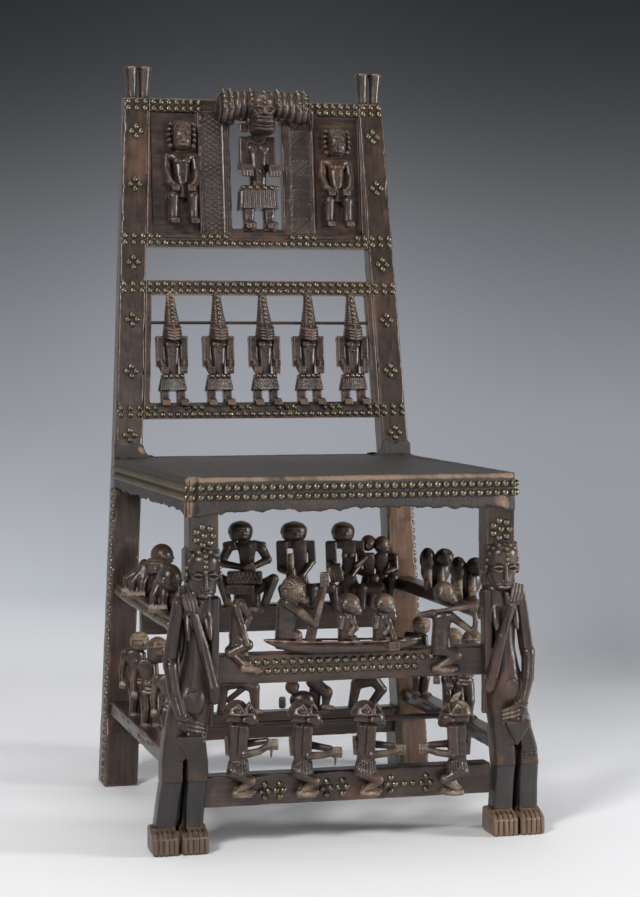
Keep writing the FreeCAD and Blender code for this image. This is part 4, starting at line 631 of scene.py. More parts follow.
def relief_figure(f):
    """A seated figure in relief with coiled hair at both sides of the face."""
    for side in (-1, 1):
        f.limb([(side * 0.09, 0.04, 0.285, 0.05), (side * 0.093, -0.07, 0.278, 0.052)], 1)
        f.limb([(side * 0.093, -0.072, 0.27, 0.05), (side * 0.093, -0.05, 0.17, 0.047),
                (side * 0.095, -0.045, 0.06, 0.045)], 1)
        small_foot(f, (side * 0.094, -0.085, 0.045), (0.044, 0.085, 0.04), 4, 0.3)
        f.limb([(side * 0.13, 0.01, 0.66, 0.04), (side * 0.143, -0.01, 0.52, 0.039)], 1)
        f.limb([(side * 0.143, -0.015, 0.52, 0.037), (side * 0.12, -0.065, 0.41, 0.035),
                (side * 0.088, -0.095, 0.375, 0.032)], 1)
        fist(f, (side * 0.074, -0.104, 0.352), (0.035, 0.024, 0.034), 0.3)
        f.ball((side * 0.04, -0.058, 0.615), (0.038, 0.02, 0.03), 3)
    f.loft([(0.27, 0.06, 0.05), (0.34, 0.044, 0.066), (0.42, 0.06, 0.074), (0.52, 0.074, 0.072),
            (0.62, 0.092, 0.066), (0.675, 0.135, 0.055), (0.702, 0.11, 0.045), (0.72, 0.05, 0.045)], 0.8, 2.4,
           smooth=True)
    f.ball((0, -0.072, 0.4), (0.012, 0.012, 0.012), 0.5)
    for i in range(3):
        f.groove(both_ways((0.055 - i * 0.01, -0.07, 0.52 - i * 0.02, 0.0035)))
    # head, cap with radiating lines, coils of beads
    f.loft([(0.712, 0.045, 0.05, 0, -0.055), (0.732, 0.07, 0.07, 0, -0.06), (0.78, 0.086, 0.086, 0, -0.062),
            (0.86, 0.089, 0.092, 0, -0.058), (0.93, 0.092, 0.09, 0, -0.045), (0.982, 0.07, 0.068, 0, -0.03),
            (1.0, 0.04, 0.04, 0, -0.02)], 0.8, 2.3, smooth=True)
    for i in range(-4, 5):
        a = i * 0.27
        f.groove([(math.sin(a) * 0.05, -0.148, 0.895, 0.0045), (math.sin(a) * 0.088, -0.115 + 0.05 * a * a,
                                                                0.965, 0.006),
                  (math.sin(a) * 0.075, -0.06, 1.0, 0.006)])
    ridge(f, (0, -0.15, 0.888), 0.088, -0.02, 0.075, 0.011, 0.5)
    for side in (-1, 1):
        for i in range(5):
            x, z = side * (0.104 + 0.012 * math.sin(math.pi * i / 4)), 0.955 - i * 0.05
            f.ball((x, -0.045, z), (0.03, 0.042, 0.026), 0.3)
            if i < 4:
                f.tack((x + side * 0.004, -0.086, z), (side * 0.25, -1, 0), 4.4)
        eye(f, (side * 0.04, -0.15, 0.818), 0.034, 0.017)
    f.limb([(0, -0.148, 0.86, 0.011), (0, -0.16, 0.785, 0.018)], 0.7)
    f.ball((0, -0.146, 0.776), (0.026, 0.016, 0.01), 0.6)
    f.ball((0, -0.14, 0.752), (0.05, 0.024, 0.016), 0.7)
    f.groove(both_ways((0.045, -0.146, 0.752, 0.005), (0, -0.164, 0.752, 0.005)))


def hat_figure(f, seed):
    """A standing figure of the back panel under a tall ridged conical hat."""
    rng = np.random.default_rng(seed)
    lean = rng.uniform(-0.008, 0.008)
    for side in (-1, 1):
        f.block((side * 0.074, 0.0, 0.1), (0.038, 0.044, 0.09), 0.6, edge=2.4)
        small_foot(f, (side * 0.084, -0.08, 0.01), (0.043, 0.085, 0.044), 4, 0.45)
        f.block((side * 0.108, 0.0, 0.47), (0.036, 0.045, 0.135), 0.5, edge=1.8)
        f.limb([(side * 0.107, -0.004, 0.4, 0.038), (side * 0.1, -0.05, 0.345, 0.037),
                (side * 0.09, -0.078, 0.3, 0.034)], 0.5)
        fist(f, (side * 0.086, -0.092, 0.296), (0.034, 0.024, 0.034), 0.45)
    f.loft([(0.118, 0.128, 0.086), (0.13, 0.127, 0.085), (0.226, 0.108, 0.072)], 0.5, 5,
           pleats=(2.8, 1.5, 0.112, 0.222))
    f.loft([(0.222, 0.107, 0.074), (0.268, 0.103, 0.07)], 0.3, 5)
    f.loft([(0.24, 0.054, 0.05), (0.32, 0.055, 0.052), (0.42, 0.06, 0.056), (0.52, 0.068, 0.058),
            (0.6, 0.074, 0.055)], 0.6, 3, smooth=True)
    f.block((0, 0.005, 0.59), (0.147, 0.042, 0.026), 0.6, edge=1.6)
    for side in (-1, 1):
        f.ball((side * 0.034, -0.052, 0.535), (0.03, 0.016, 0.024), 2)
    f.tack((0, -0.062, 0.475), (0, -1, 0), 4.0)
    for i in range(4):
        f.tack((-0.076 + i * 0.051, -0.075, 0.246), (0, -1, 0), 7.0)
    # beard, face and hat in one straight cone
    cone = [(0.556, 0.04, 0.045, 0, -0.06), (0.58, 0.072, 0.072, 0, -0.057), (0.615, 0.087, 0.084, 0, -0.05),
            (0.68, 0.08, 0.078, 0, -0.042), (0.76, 0.068, 0.066, lean, -0.03),
            (0.88, 0.051, 0.05, lean * 2, -0.014), (1.02, 0.036, 0.038, lean * 2, 0)]
    f.loft(cone, 0.6, 2.2, smooth=True, ridges=(0.025, 1.0, 0.7, 1.01))
    for i in range(4):
        rise, wide = 0.652 - i * 0.027, 0.08 - 0.003 * i
        f.limb(both_ways((wide, -0.075, rise + 0.036, 0.007), (wide * 0.6, -0.126, rise + 0.011, 0.0115),
                         (0, -0.141, rise, 0.0125)), 0.15)
    for side in (-1, 1):
        f.groove([(side * 0.018, -0.118, 0.697, 0.0046), (side * 0.062, -0.092, 0.697, 0.0046)])
    ridge(f, (0, -0.118, 0.712), 0.07, -0.01, 0.068, 0.0075, 0.3)
    f.limb([(0, -0.116, 0.71, 0.009), (0, -0.13, 0.68, 0.015)], 0.4)
    f.spot((0, -0.13, 0.63), 0.07, 0.3)
    for i in range(7):
        z = 0.735 + i * 0.04
        half = np.interp(z, [r[0] for r in cone], [r[2] - r[4] for r in cone])
        f.tack((lean * i * 0.3, -half - 0.002, z), (0, -1, 0.15), 6.6)
    if seed == 18:
        f.spot((lean * 2, -0.04, 0.98), 0.1, 2.2)


# Figures of the rungs


def head(f, centre, half, turn, kind="cap", worn=0.6):
    """A round head facing along its local minus Y after the turn about Z. Kinds: cap, ribs, plain."""
    f.nest(centre, (0, 0, turn), half[2])
    wide, deep = half[0] / half[2], half[1] / half[2]
    if kind == "cap":
        f.loft([(-0.98, 0.66 * wide, 0.66 * deep), (-0.8, 0.84 * wide, 0.84 * deep),
                (-0.4, 0.97 * wide, 0.97 * deep), (0.05, wide, deep), (0.5, 0.88 * wide, 0.88 * deep),
                (0.82, 0.58 * wide, 0.58 * deep), (0.98, 0.2 * wide, 0.2 * deep)], 0.8, 2.1, smooth=True)
    else:
        f.ball((0, 0, 0.02), (wide, deep, 0.98), 0.8)
        f.ball((0, -0.34 * deep, -0.44), (0.66 * wide, 0.6 * deep, 0.54), 2)
    for side in (-1, 1):
        f.ball((side * 0.4 * wide, -0.76 * deep, -0.16), (0.26, 0.2, 0.13), 0.4)
        f.groove([(side * 0.22 * wide, -0.99 * deep, -0.16, 0.045),
                  (side * 0.58 * wide, -0.84 * deep, -0.16, 0.045)])
        f.ball((side * 0.99 * wide, 0.02, -0.12), (0.1, 0.16, 0.22), 0.5)
        f.ball((side * 1.1 * wide, -0.02, -0.12), (0.07, 0.07, 0.09), 0.3, hollow=True)
    f.limb([(0, -0.9 * deep, 0.02, 0.09), (0, -1.02 * deep, -0.3, 0.12)], 0.5)
    f.ball((0, -0.9 * deep, -0.56), (0.3, 0.16, 0.1), 0.5)
    f.groove(both_ways((0.26, -0.98 * deep, -0.56, 0.035)))
    if kind != "plain":
        f.limb([(math.sin(t) * 0.99 * wide, -math.cos(t) * 0.98 * deep, 0.22 + 0.1 * math.cos(t), 0.055)
                for t in np.linspace(-1.9, 1.9, 15)], 0.3)
    if kind == "ribs":
        for i in range(9):
            x = -0.8 + i * 0.2
            rise = math.sqrt(1 - x * x)
            f.groove([(x * wide, -0.8 * rise * deep, 0.5 * rise + 0.08, 0.05),
                      (x * wide, -0.35 * rise * deep, 0.96 * rise, 0.05),
                      (x * wide, 0.35 * rise * deep, 0.96 * rise, 0.05),
                      (x * wide, 0.9 * rise * deep, 0.35 * rise, 0.05)])
    f.spot((0, -0.5, 0.3), 1.3, worn)
    f.back()


def fist(f, centre, half, worn=1.4):
    """A closed hand seen from the front, made of four upright fingers on a palm."""
    x, y, z = centre
    f.block((x, y + half[1] * 0.3, z), (half[0] * 0.9, half[1] * 0.7, half[2] * 0.86), 1.0, edge=2.4)
    r = half[0] * 0.29
    for i in range(4):
        at = x + half[0] * (i - 1.5) * 0.5
        f.limb([(at, y - half[1] * 0.55, z - half[2] * 0.72, r), (at, y - half[1] * 0.75, z, r * 1.05),
                (at, y - half[1] * 0.5, z + half[2] * 0.72, r)], 0.25)
    f.spot(centre, max(half) * 1.6, worn)


def long_foot(f, heel, length, wide=4.6, high=4.2, worn=1.6):
    """A foot in millimetres that points along X from its heel, with toe grooves at its tip."""
    x, y, z = heel
    f.limb([(x, y, z + 0.6, high * 1.05), (x + length * 0.5, y, z, high),
            (x + length, y, z - 0.6, high * 0.78)], 1.2, wide / high)
    for i in range(1, 4):
        lift = high * (0.9 - 0.55 * i)
        f.groove([(x + length * 0.72, y - wide * 0.98, z + lift, 0.6),
                  (x + length * 1.05, y - wide * 0.7, z + lift, 0.6)])
    f.spot((x + length * 0.5, y - wide, z), length * 0.8, worn)


def kneeling_leg(f, hip, knee, ankle, thick, worn=0.7):
    """Thigh out to the knee, shin back below it and a foot pointing forward, all in millimetres."""
    f.limb([(*hip, thick * 1.35), (*knee, thick)], 1.5)
    f.limb([(*knee, thick), (*ankle, thick * 0.66)], 1.2)
    long_foot(f, ankle, thick * 3.3, thick * 0.85, thick * 0.72)
    f.spot((knee[0], knee[1] - thick, knee[2]), thick * 2.2, worn)


def akimbo(f):
    """The drummer: arms out to both sides, hands together over a wide patterned drum."""
    f.loft([(0, 20, 15, 0, 4), (30, 17, 13, 0, 3), (52, 10.5, 9, 0, 0), (70, 11, 9), (86, 13.5, 9.5),
            (93, 12, 8)], 1, 3, smooth=True)
    for side, out, low in ((-1, -36, 61), (1, 29, 66)):
        f.block((side * 20 - 3.5, 0, 85), (10, 6.5, 7), 1.5, (0, side * 10, 0), 3)
        f.limb([(side * 23 - 3, 0, 82, 7.2), (out, -3, low, 5.8), (side * 7 + 1, -18, 57, 4.4)], 1)
        f.spot((side * 22, -6, 84), 12, 0.6)
    fingers(f, (4, -21, 56), (8.5, 4, 6.5), (10, 150, 0), 5, 0.7)
    f.spot((4, -22, 57), 10, 1.6)
    f.block((-2.5, -19, 43), (24.5, 11, 8.8), 0.8, edge=3)
    f.block((-8.5, -20, 27), (19.5, 11, 6.8), 0.8, edge=3)
    for i in range(9):
        for j in range(3):
            f.ball((-24 + i * 5.4 + 2.4 * (j % 2), -30.2, 37.4 + j * 5.6), (1.7, 1.5, 1.7), 0.3, hollow=True)
    for i in range(11):
        f.groove([(-26 + i * 3.5, -31, 21.5, 0.8), (-25.4 + i * 3.5, -31, 32.5, 0.8)])
    f.spot((-5, -30, 42), 22, 0.8)
    for side, knee in ((-1, -36), (1, 37)):
        f.limb([(side * 12, 0, 24, 9), (knee, -14, 40, 7.5), (side * 26, -22, 8, 6)], 1.2)
        f.spot((knee, -20, 40), 9, 0.7)
    f.limb([(12, -24, 4, 4), (21, -30, -2, 4.2)], 1)
    long_foot(f, (6, -27, -1), 14, 4.5, 3.8)
    head(f, (-9, 0, 106.5), (17, 16.5, 14.2), 18, "cap", 0.9)


def slab_arms(f, tube):
    """A musician with straight block arms set apart from a narrow block body."""
    f.loft([(0, 21, 16, 0, 4), (22, 20, 15, 0, 3), (38, 12, 10, 0, 1), (52, 9.8, 8.5), (94, 10.8, 8.5)], 0.8,
           5)
    f.block((-5, 0, 88), (26, 7, 5.5), 0.6, edge=1.6)
    f.block((-24.5, -1, 72), (7.8, 7.5, 20.5), 0.6, (0, -2, 0), 1.6)
    f.block((17.0, 0, 77), (5.4, 7, 16), 0.6, (0, -3, 0), 1.6)
    f.block((-12.5, -1, 70), (3.4, 12, 12), 0.4, (0, 0, 0), 1.0, hollow=True)
    f.limb([(-25, -4, 54, 6.5), (-10, -20, 49, 4.8)], 1)
    f.limb([(18, -3, 64, 5), (4, -20, 46, 4.4)], 1)
    f.spot((0, -10, 78), 20, 0.9)
    if tube:
        f.loft([(56, 5.2, 5.2), (77, 4.6, 4.6)], 0.4, 2, base=(-12, -21, 0))
        f.loft([(34, 9, 8), (46, 8, 7.5), (57, 6.5, 6.5)], 0.6, 2.2, base=(-11, -20, 0),
               flutes=(16, 1.2, 35, 56))
        f.spot((-12, -25, 68), 11, 2.6)
    else:
        f.limb([(-26, -6, 62, 6), (-19, -20, 58, 5)], 1)
        fingers(f, (-18, -23, 50), (9.5, 3.6, 13), (0, 168, 0), 5, 0.8)
        f.spot((-18, -26, 50), 13, 1.3)
        for side in (-1, 1):
            f.ball((side * 5.2 - 1, -8, 73), (4.0, 3.0, 3.0), 1.5)
        f.limb([(14, -2, 82, 5), (23, -10, 70, 4.4), (10, -20, 60, 4)], 1)
    for side in (-1, 1):
        f.limb([(side * 11, 0, 18, 10), (side * 20 - 2, -20, 27, 8), (side * 18, -25, 2, 6)], 1.2)
    f.limb([(10, -14, 26, 8), (44, -16, 29, 8)], 1.2)
    f.spot((20, -22, 34), 22, 0.4)
    head(f, (-8, 0, 107.3), (18.5 if tube else 16.2, 17, 13.6), 15, "cap", 0.9)


def couple(f):
    """Two small seated figures leaning together, one facing to the right."""
    for x, kind, turn, z, half in ((-15.5, "ribs", -15, 90, (11, 12, 11.5)),
                                   (3.5, "plain", 62, 87, (12, 11.5, 13))):
        f.loft([(0, 14, 13, 0, 2), (25, 12, 12, 0, 1), (50, 8.5, 8), (68, 10.5, 8), (76, 8, 7)], 1, 3,
               base=(x, 0, 0), smooth=True)
        head(f, (x, 0, z), half, turn, kind, 0.8)
    f.limb([(-25, 0, 70, 6), (-28, -6, 50, 5), (-12, -16, 44, 4.4)], 1)
    f.limb([(13, 0, 70, 5.6), (22, -4, 70, 5.4), (23, -8, 54, 5), (10, -18, 50, 4)], 1)
    f.limb([(-14, -2, 20, 9), (-8, -20, 40, 8), (-12, -24, 6, 6)], 1.2)
    f.limb([(6, -2, 20, 9), (19, -20, 42, 8), (14, -24, 6, 6)], 1.2)
    f.spot((6, -8, 66), 14, 0.9)


def steersman(f):
    """The big figure at the left of the canoe: combed hair, elbow out, a tall paddle in the fist."""
    f.loft([(-4, 10, 10, -5, 2), (10, 11.5, 11, -4, 2), (28, 11.5, 10.5, -2.5), (46, 13, 10.5, -0.5),
            (55, 11.5, 9, 1), (60, 7, 7, 3)], 1, 3, smooth=True)
    f.limb([(0, -8, 51, 7.0), (15, -10, 41, 5.6), (33, -9, 26.5, 4.4)], 1.2)
    f.limb([(33, -9, 26.5, 4.2), (40, -8, 52, 2.9), (44.5, -7, 72, 3.2)], 1.0)
    f.limb([(8, 8, 50, 6), (30, 8, 46, 4.6), (43, 0, 66, 3.4)], 1.2)
    fist(f, (44, -6, 80), (5.4, 4.8, 10.5), 0.9)
    f.limb([(49.5, -2, 92, 2.4), (37, -3, 44, 2.4), (27, -3, 4, 2.4)], 0.5)
    f.block((27.5, -3, 11), (6.3, 2.2, 12), 0.6, (0, 12, 0), 1.6)
    f.limb([(-5, -2, 14, 8.6), (11, -4, 12.5, 6.2), (15, -3, 2, 4.4)], 1.4)
    f.spot((20, -15, 38), 14, 0.9)
    f.spot((38, -11, 45), 16, 1.0)
    f.spot((12, -14, 12), 9, 0.8)
    head(f, (6.5, -1, 67), (16, 15, 17.5), 55, "ribs", 1.3)
    f.limb([(13, -2, 59, 10), (20, -4, 54.5, 6.6)], 2)
    for i in range(11):
        a = -1.2 + i * 0.22
        f.groove([(6.5 + math.sin(a) * 15.4, -1 - math.cos(a) * 13, 60, 0.75),
                  (6.5 + math.sin(a) * 13.5, -1 - math.cos(a) * 12.4, 75, 0.75),
                  (6.5 + math.sin(a) * 6, -6, 83.5, 0.7)])


def smith(f, tall, lift):
    """A kneeling figure in a peaked hat, in profile, both forearms held straight out with a spike."""
    for y, far in ((-9, 0), (9, 1)):
        kneeling_leg(f, (-4, y * 0.8, 30), (16 - 5 * far, y, 21), (-4 + 3 * far, y * 0.9, 4.5), 5.6)
    f.loft([(26.5, 14.5, 15.5, -0.5), (30, 14.0, 15.0, -0.5), (42, 12.2, 12.5, 0.2), (45, 11, 11)], 0.6, 2.8,
           flutes=(24, 2.0, 26, 43.5))
    f.loft([(44, 9.5, 10.5, -1), (60, 9.5, 11.0, -1.5), (80, 10.5, 12.5, -0.5), (88, 9.5, 12.0, -0.5)], 0.8,
           5)
    f.groove(both_ways((9, -11.5, 45.5, 0.8)))
    for y in (-12.0, 12.0):
        f.block((6.2, y, 69), (5.6, 4.6, 18.5), 0.8, (0, 3, 0), 2.2)
        f.groove([(0.3, y * 1.36, 54, 0.8), (0.3, y * 1.36, 86, 0.8)])
    # the flap that hangs down the back
    f.block((-13.2, -2, 62), (2.4, 7, 11), 0.5, (0, -4, 0), 1.0)
    near = 52 + lift * 0.15
    f.limb([(7.5, -13.5, near, 4.9), (25, -12.5, near + 1 + lift * 0.35, 4.3),
            (38, -10, near + 3 + lift, 4.0)], 1.0)
    f.limb([(8, 11, near + 9, 4.8), (34, 7, near + 5 + lift, 4.0)], 1.0)
    f.spot((22, -17, near + lift * 0.4), 15, 0.7)
    fist(f, (42, -7.5, near + 3.5 + lift), (6.2, 5.8, 7.0))
    f.limb([(40, -7, near - 2 + lift, 1.9), (39.5, -7, near - 12 + lift, 1.1)], 0.4)
    # head: a big dark face in front, a bun and neck flap behind
    f.loft([(86, 6, 7, 1), (93, 7, 8, 2)], 1, 2.2)
    f.block((-5, 0, 95.5), (9, 9.5, 5.6), 1.5, (0, 6, 0), 3)
    head(f, (11, -0.5, 94.5), (12.0, 13.0, 10.6), 72, "plain", 0.5)
    f.limb([(15, 0, 90.5, 7.5), (19.5, 0, 88.5, 5.0)], 1.5)
    # hat: an upturned brim and peaked panels with raised outlines
    f.loft([(99, 15.5, 14.5, 3.4), (101.5, 17.0, 15.6, 3.4), (103.5, 16.2, 15.0, 3.4), (109, 13.6, 12.6, 3.6),
            (114.5, 8.6, 8.0, 3.6), (116.5, 4, 4, 3.6)], 0.5, 2.2, (0, -3, 0))
    for a in (-140, -75, -12, 52, 115, 180):
        f.nest((3.4, 0, 100.8), (0, 0, a), 1.0)
        f.ball((0, -14.8, 5.2), (5.0, 2.2, 3.8), 0.4, hollow=True)
        f.limb(both_ways((7.8, -14.0, 0.8, 1.15), (5.0, -13.2, 7.0, 1.1), (0, -10.6, 12.4, 1.2)), 0.3)
        f.spot((0, -12, 6), 9, 0.9)
        f.back()
    f.limb([(3.4 + math.cos(t) * 17.2, math.sin(t) * 15.8, 101.2, 1.3) for t in np.linspace(0, 2 * math.pi,
                                                                                            25)], 0.3)
    if tall:
        f.limb([(7, -4, 111, 4.2), (3, -6, 121, 4.0), (-3, -7, 128, 1.6)], 0.8, 0.6)
        f.spot((2, -8, 120), 13, 3.0)


def crawler(f, kind, seed):
    """A low bent figure of the lower back rung: knees, shins, feet or a small head in view."""
    if kind == "arch":
        f.limb([(-24, 0, 4, 6), (-20, 0, 38, 6.5), (4, 2, 44, 8.5), (22, 0, 36, 8), (24, 0, 4, 5.4)], 1.5)
        f.limb([(-14, 4, 18, 4), (8, 0, 36, 4.4)], 1)
        f.spot((10, -6, 40), 22, 0.9)
        long_foot(f, (20, -3, 3), 12)
    elif kind == "head":
        f.ball((6, 4, 14), (18, 12, 14), 2)
        head(f, (-8, -2, 34), (10, 10, 10.5), 30, "ribs", 0.2)
        f.block((-22, -2, 12), (5, 6, 8), 1.5, edge=3)
    elif kind == "shin":
        f.limb([(-12, 0, 40, 10), (8, -1, 24, 8), (6, -2, 8, 5)], 1.5)
        f.limb([(-8, 4, 40, 9), (-10, 6, 4, 8)], 1.5)
        f.ball((9, -3, 26), (6, 6, 8), 2)
        long_foot(f, (2, -5, 4), 14)
        f.spot((8, -8, 26), 14, 0.8)
    else:
        f.limb([(-20, 0, 3, 6), (-14, 0, 34, 8), (10, 0, 40, 9), (22, 0, 26, 7), (6, 0, 4, 6)], 1.5)
        f.spot((18, -7, 28), 14, 0.7)
        long_foot(f, (2, -4, 3), 13)
    f.spot((0, -4, 10 + seed), 8, 0.4)


def hunched(f, kind, seed):
    """A seated figure bent forward over the rung, head to the right, two pale fists on the edge."""
    places = {"dome": ((8, 31), (31, 52)), "face": ((0, 32), (14, 42)), "grey": ((-4, 34), (5, 42))}
    shoulder, crown = places[kind]
    f.ball((shoulder[0] + 8, 8, 20), (15, 13, 22), 2)
    f.ball((shoulder[0], 0, shoulder[1]), (9.5, 10, 16), 2)
    for x, y in ((-15, -9), (-3, -10)):
        f.limb([(shoulder[0] + (x + 9) * 0.4, -2, shoulder[1] + 2, 7.2), (x + 1, y + 1, 21, 5.4),
                (x, y, 9, 4.6)], 1.5)
        fist(f, (x - 0.5, y - 3, 4.8), (6.0, 5.0, 5.4), 1.7)
    if kind == "face":
        head(f, (crown[0], -2, crown[1]), (13, 12.5, 12), 6, "cap", 0.9)
    elif kind == "grey":
        head(f, (crown[0], -5, crown[1]), (15, 15, 17.5), 62, "plain", 0.6)
    else:
        head(f, (crown[0], 2, crown[1]), (17.5, 15, 15), 100, "plain", 0.2)
    f.limb([(6, 2, 12, 8), (16, -6, 20, 7), (16, -8, 3, 5)], 1.2)
    f.spot((-6, -8, 30 + seed), 14, 0.5)


def bowed(f, seed):
    """A figure bowed far forward: a dark arched shoulder and a head, each over a straight pale arm."""
    f.ball((0, 10, 24), (20, 13, 22), 3)
    f.ball((-11, 0, 40), (11, 12, 16), 2.5)
    f.limb([(-11, -1, 36, 7), (-10.5, -3, 8, 5.6)], 1.2)
    fingers(f, (-10.5, -6, 5), (5.4, 4.0, 6.5), (0, 180, 0), 4, 0.7)
    f.limb([(6, 0, 30, 6.4), (7.5, -3, 6, 5)], 1.2)
    fingers(f, (8, -6, 4), (4.8, 3.8, 6), (0, 180, 0), 4, 0.7)
    f.spot((-11, -8, 16), 14, 2.4)
    f.spot((7, -8, 14), 13, 2.4)
    head(f, (11.5, -2, 43), (12.5, 13, 12.5), 40 + 12 * seed, "ribs", 0.5)


def watcher(f, kind, seed):
    """A standing figure of the lower side rungs with a ringed neck and a skirt with three pale lines."""
    f.loft([(0, 11, 10, 2, 3), (34, 12, 10, 2, 2), (46, 12.5, 10.5, 2, 1)], 1, 3)
    for x in (-5, 8):
        f.limb([(x, -5, 44, 7.2), (x + 2, -10, 24, 5.6), (x, -7, 4, 4.8)], 1.2)
        long_foot(f, (x - 1, -10, 2.5), 9, 4.2, 3.4, 1.2)
    f.loft([(42, 12.5, 11.5, 2), (60, 10.5, 10.5, 1)], 0.6, 3.2)
    for i in range(3):
        f.limb([(2 + math.cos(t) * 12.2, -math.sin(t) * 11.6, 45 + i * 5.2, 1.2) for t in np.linspace(0,
                                                                                                      math.pi,
                                                                                                      11)],
               0.3)
    f.spot((2, -11, 50), 11, 1.5)
    f.loft([(58, 9, 8.5, 1), (70, 11.5, 9, -1), (82, 13.5, 9, -3), (88, 11, 8, -2)], 1, 3, smooth=True)
    f.limb([(-15, 0, 84, 5.4), (-19, -3, 60, 4.6), (-18, -7, 46, 4)], 1.2)
    fist(f, (-18, -8, 42), (4.6, 4.4, 4.8), 1.4)
    f.limb([(8, -4, 82, 5), (10, -10, 66, 4.4), (2, -15, 58, 4)], 1.2)
    f.spot((-17, -6, 70), 18, 0.7)
    if kind == "ringed":
        for i in range(4):
            f.ball((4 + i * 1.6, -1, 84 + i * 3), (8.6, 8.6, 2.1), 0.4)
        head(f, (12, -3, 100), (14.0, 13.5, 17), 42, "cap", 1.1)
    else:
        head(f, (4, -3, 100), (12.5, 12.5, 12.5), 20 + 20 * seed, "cap", 2.2)
    f.spot((2, -12, 20), 16, 0.3)


def porter(f):
    """The tall thin figure at the left of the front rung, bent over, one leg lying on its face."""
    f.loft([(-2, 13.5, 9, -3), (10, 11, 8.5, -3), (30, 8.5, 8, -4), (48, 8.8, 8, -3), (62, 8.0, 7.5, -2),
            (66, 6, 6, -2)], 1, 3, smooth=True)
    f.limb([(2, -5, 60, 5.2), (11, -8, 44.5, 3.8), (4, -11, 30, 3.4)], 1.2)
    f.limb([(-5, -6, 58, 5.0), (2, -12, 36, 4.2), (8.5, -14, 14, 3.6)], 1.2)
    f.limb([(-6, 0, 22, 8), (9, -6, 12, 6.4), (-12, -7, 2, 5.6)], 1.5)
    f.groove([(-8, -8, 8, 0.8), (-6, -10, 50, 0.8)])
    f.spot((8, -15, 20), 12, 0.9)
    f.ball((-9, 2, 4), (10, 9, 8), 2)
    f.limb([(-4, -7, -3, 6.0), (6, -12, -11, 5.2), (20, -13, -19, 4.2)], 1.2)
    long_foot(f, (4, -14, -16), 17, 4.6, 4.4, 1.3)


def paddler(f, reaching):
    """A small paddler: smooth head bent to the right, thin body, one bent leg."""
    f.loft([(-3, 5.8, 8, -4.5), (11, 7.6, 9, -2), (25, 10.2, 9.5, 0.5), (34, 10.4, 9, 0.8), (39, 7, 7, 1.5)],
           1, 2.8, smooth=True)
    f.limb([(7, -6, 33, 4.8), (11.5, -9, 22, 4.0), (5, -12, 15, 3.6)], 1.2)
    f.limb([(-1, -3, 12, 6), (9, -6, 8, 5.2), (18, -9, -1, 4.0)], 1.2)
    f.limb([(-5, -7, 34, 4.2), (-6, -9, 22, 3.6)], 1)
    f.spot((2, -12, 24), 12, 1.1)
    f.spot((12, -10, 5), 9, 1.2)
    head(f, (3.5, -1, 50), (14.8, 13.6, 12.6), 66, "plain", 1.5)
    f.limb([(8, -2, 46, 9.2), (13.5, -3, 41.0, 6.6)], 2.5)
    if reaching:
        f.limb([(11, -8, 24, 4), (16, -13, 9, 4)], 1)
        fingers(f, (16, -16.5, 0), (7.4, 3.0, 5.5), (0, 180, 0), 5, 0.7)
        f.spot((16, -17, 0), 9, 1.0)
        f.limb([(11, -3, 42, 7.4), (15, -4, 34, 5.6)], 1.5)


def hunter(f):
    """The kneeling figure with a plain gun at the right of the front rung."""
    for y, far in ((-7, 0), (9, 1)):
        kneeling_leg(f, (-7, y * 0.6, 32), (14 - 4 * far, y, 23.5), (-12 + 6 * far, y * 0.9, 6), 6.2, 0.6)
    f.loft([(24, 11.5, 11, -4.5), (34, 12.2, 12, -5), (48, 11.4, 10.5, -5), (60, 11.0, 10, -4.5),
            (72, 12.6, 10.5, -2), (77, 9, 8, -1)], 1, 3, smooth=True)
    f.limb([(6, -6, 72, 5.6), (20, -9, 62, 4.4), (35, -10, 51, 3.8)], 1.4)
    f.limb([(35, -10, 51, 3.8), (36.5, -10, 66, 3.2), (34.5, -8, 80, 3.2)], 1.0)
    f.limb([(-10, -3, 72, 5), (-24, -9, 74, 3.8)], 1.2)
    fist(f, (34, -8, 82.5), (5.0, 4.6, 4.6), 1.2)
    f.limb([(-32, -10, 74.6, 2.1), (0, -10, 79.4, 2.4), (16, -10, 81.8, 3.2), (36, -10, 84.4, 4.0)], 0.5)
    f.limb([(-31, -10, 73.2, 3.2), (-15, -9, 76, 4.4)], 0.8)
    f.spot((24, -13, 58), 14, 1.0)
    f.spot((-5, -12, 48), 18, 0.9)
    f.spot((16, -12, 82), 18, 0.8)
    head(f, (-1.5, -1, 100), (13.6, 13.4, 13.6), 70, "plain", 1.7)
    f.limb([(4, -2, 94, 9.2), (9, -3, 90, 6.4)], 2)
    for i in range(5):
        for j in range(2):
            a = -0.9 + i * 0.42
            f.ball((-1.5 + math.sin(a) * 13, -1 - math.cos(a) * 12.6, 96 + 9 * j), (0.9, 0.9, 0.9), 0.2,
                   hollow=True)


# The chair's timbers

BEND, POST_TOP, BEND_TO_TOP = 449.5, 948.6, 499.1  # heights on the back posts
BEND_Y = 192.6  # the front of the posts where they bend
BACK_ORIGIN = np.array([0, BEND_Y, BEND])
BACK_TURN = (-6.674, 0, 0)
BACK_LENGTH = 502.5
POST_DENTS, POST_SCRATCHES, RUNG_DENTS, SIDE_DENTS = 34, 9, 26, 30


def inner_back(along):
    """Half the gap between the back posts along the back from the seat."""
    return 172.8 - 21.2 * along / BACK_LENGTH


def outer_post(z):
    """X of the outer face of a back post."""
    return 232.6 - 46.0 * z / POST_TOP


def front_post(z):
    """Y of the front face of a back post."""
    if z > BEND:
        return BEND_Y + 58.4 * (z - BEND) / BEND_TO_TOP
    return BEND_Y - 20.5 * (BEND - z) / BEND


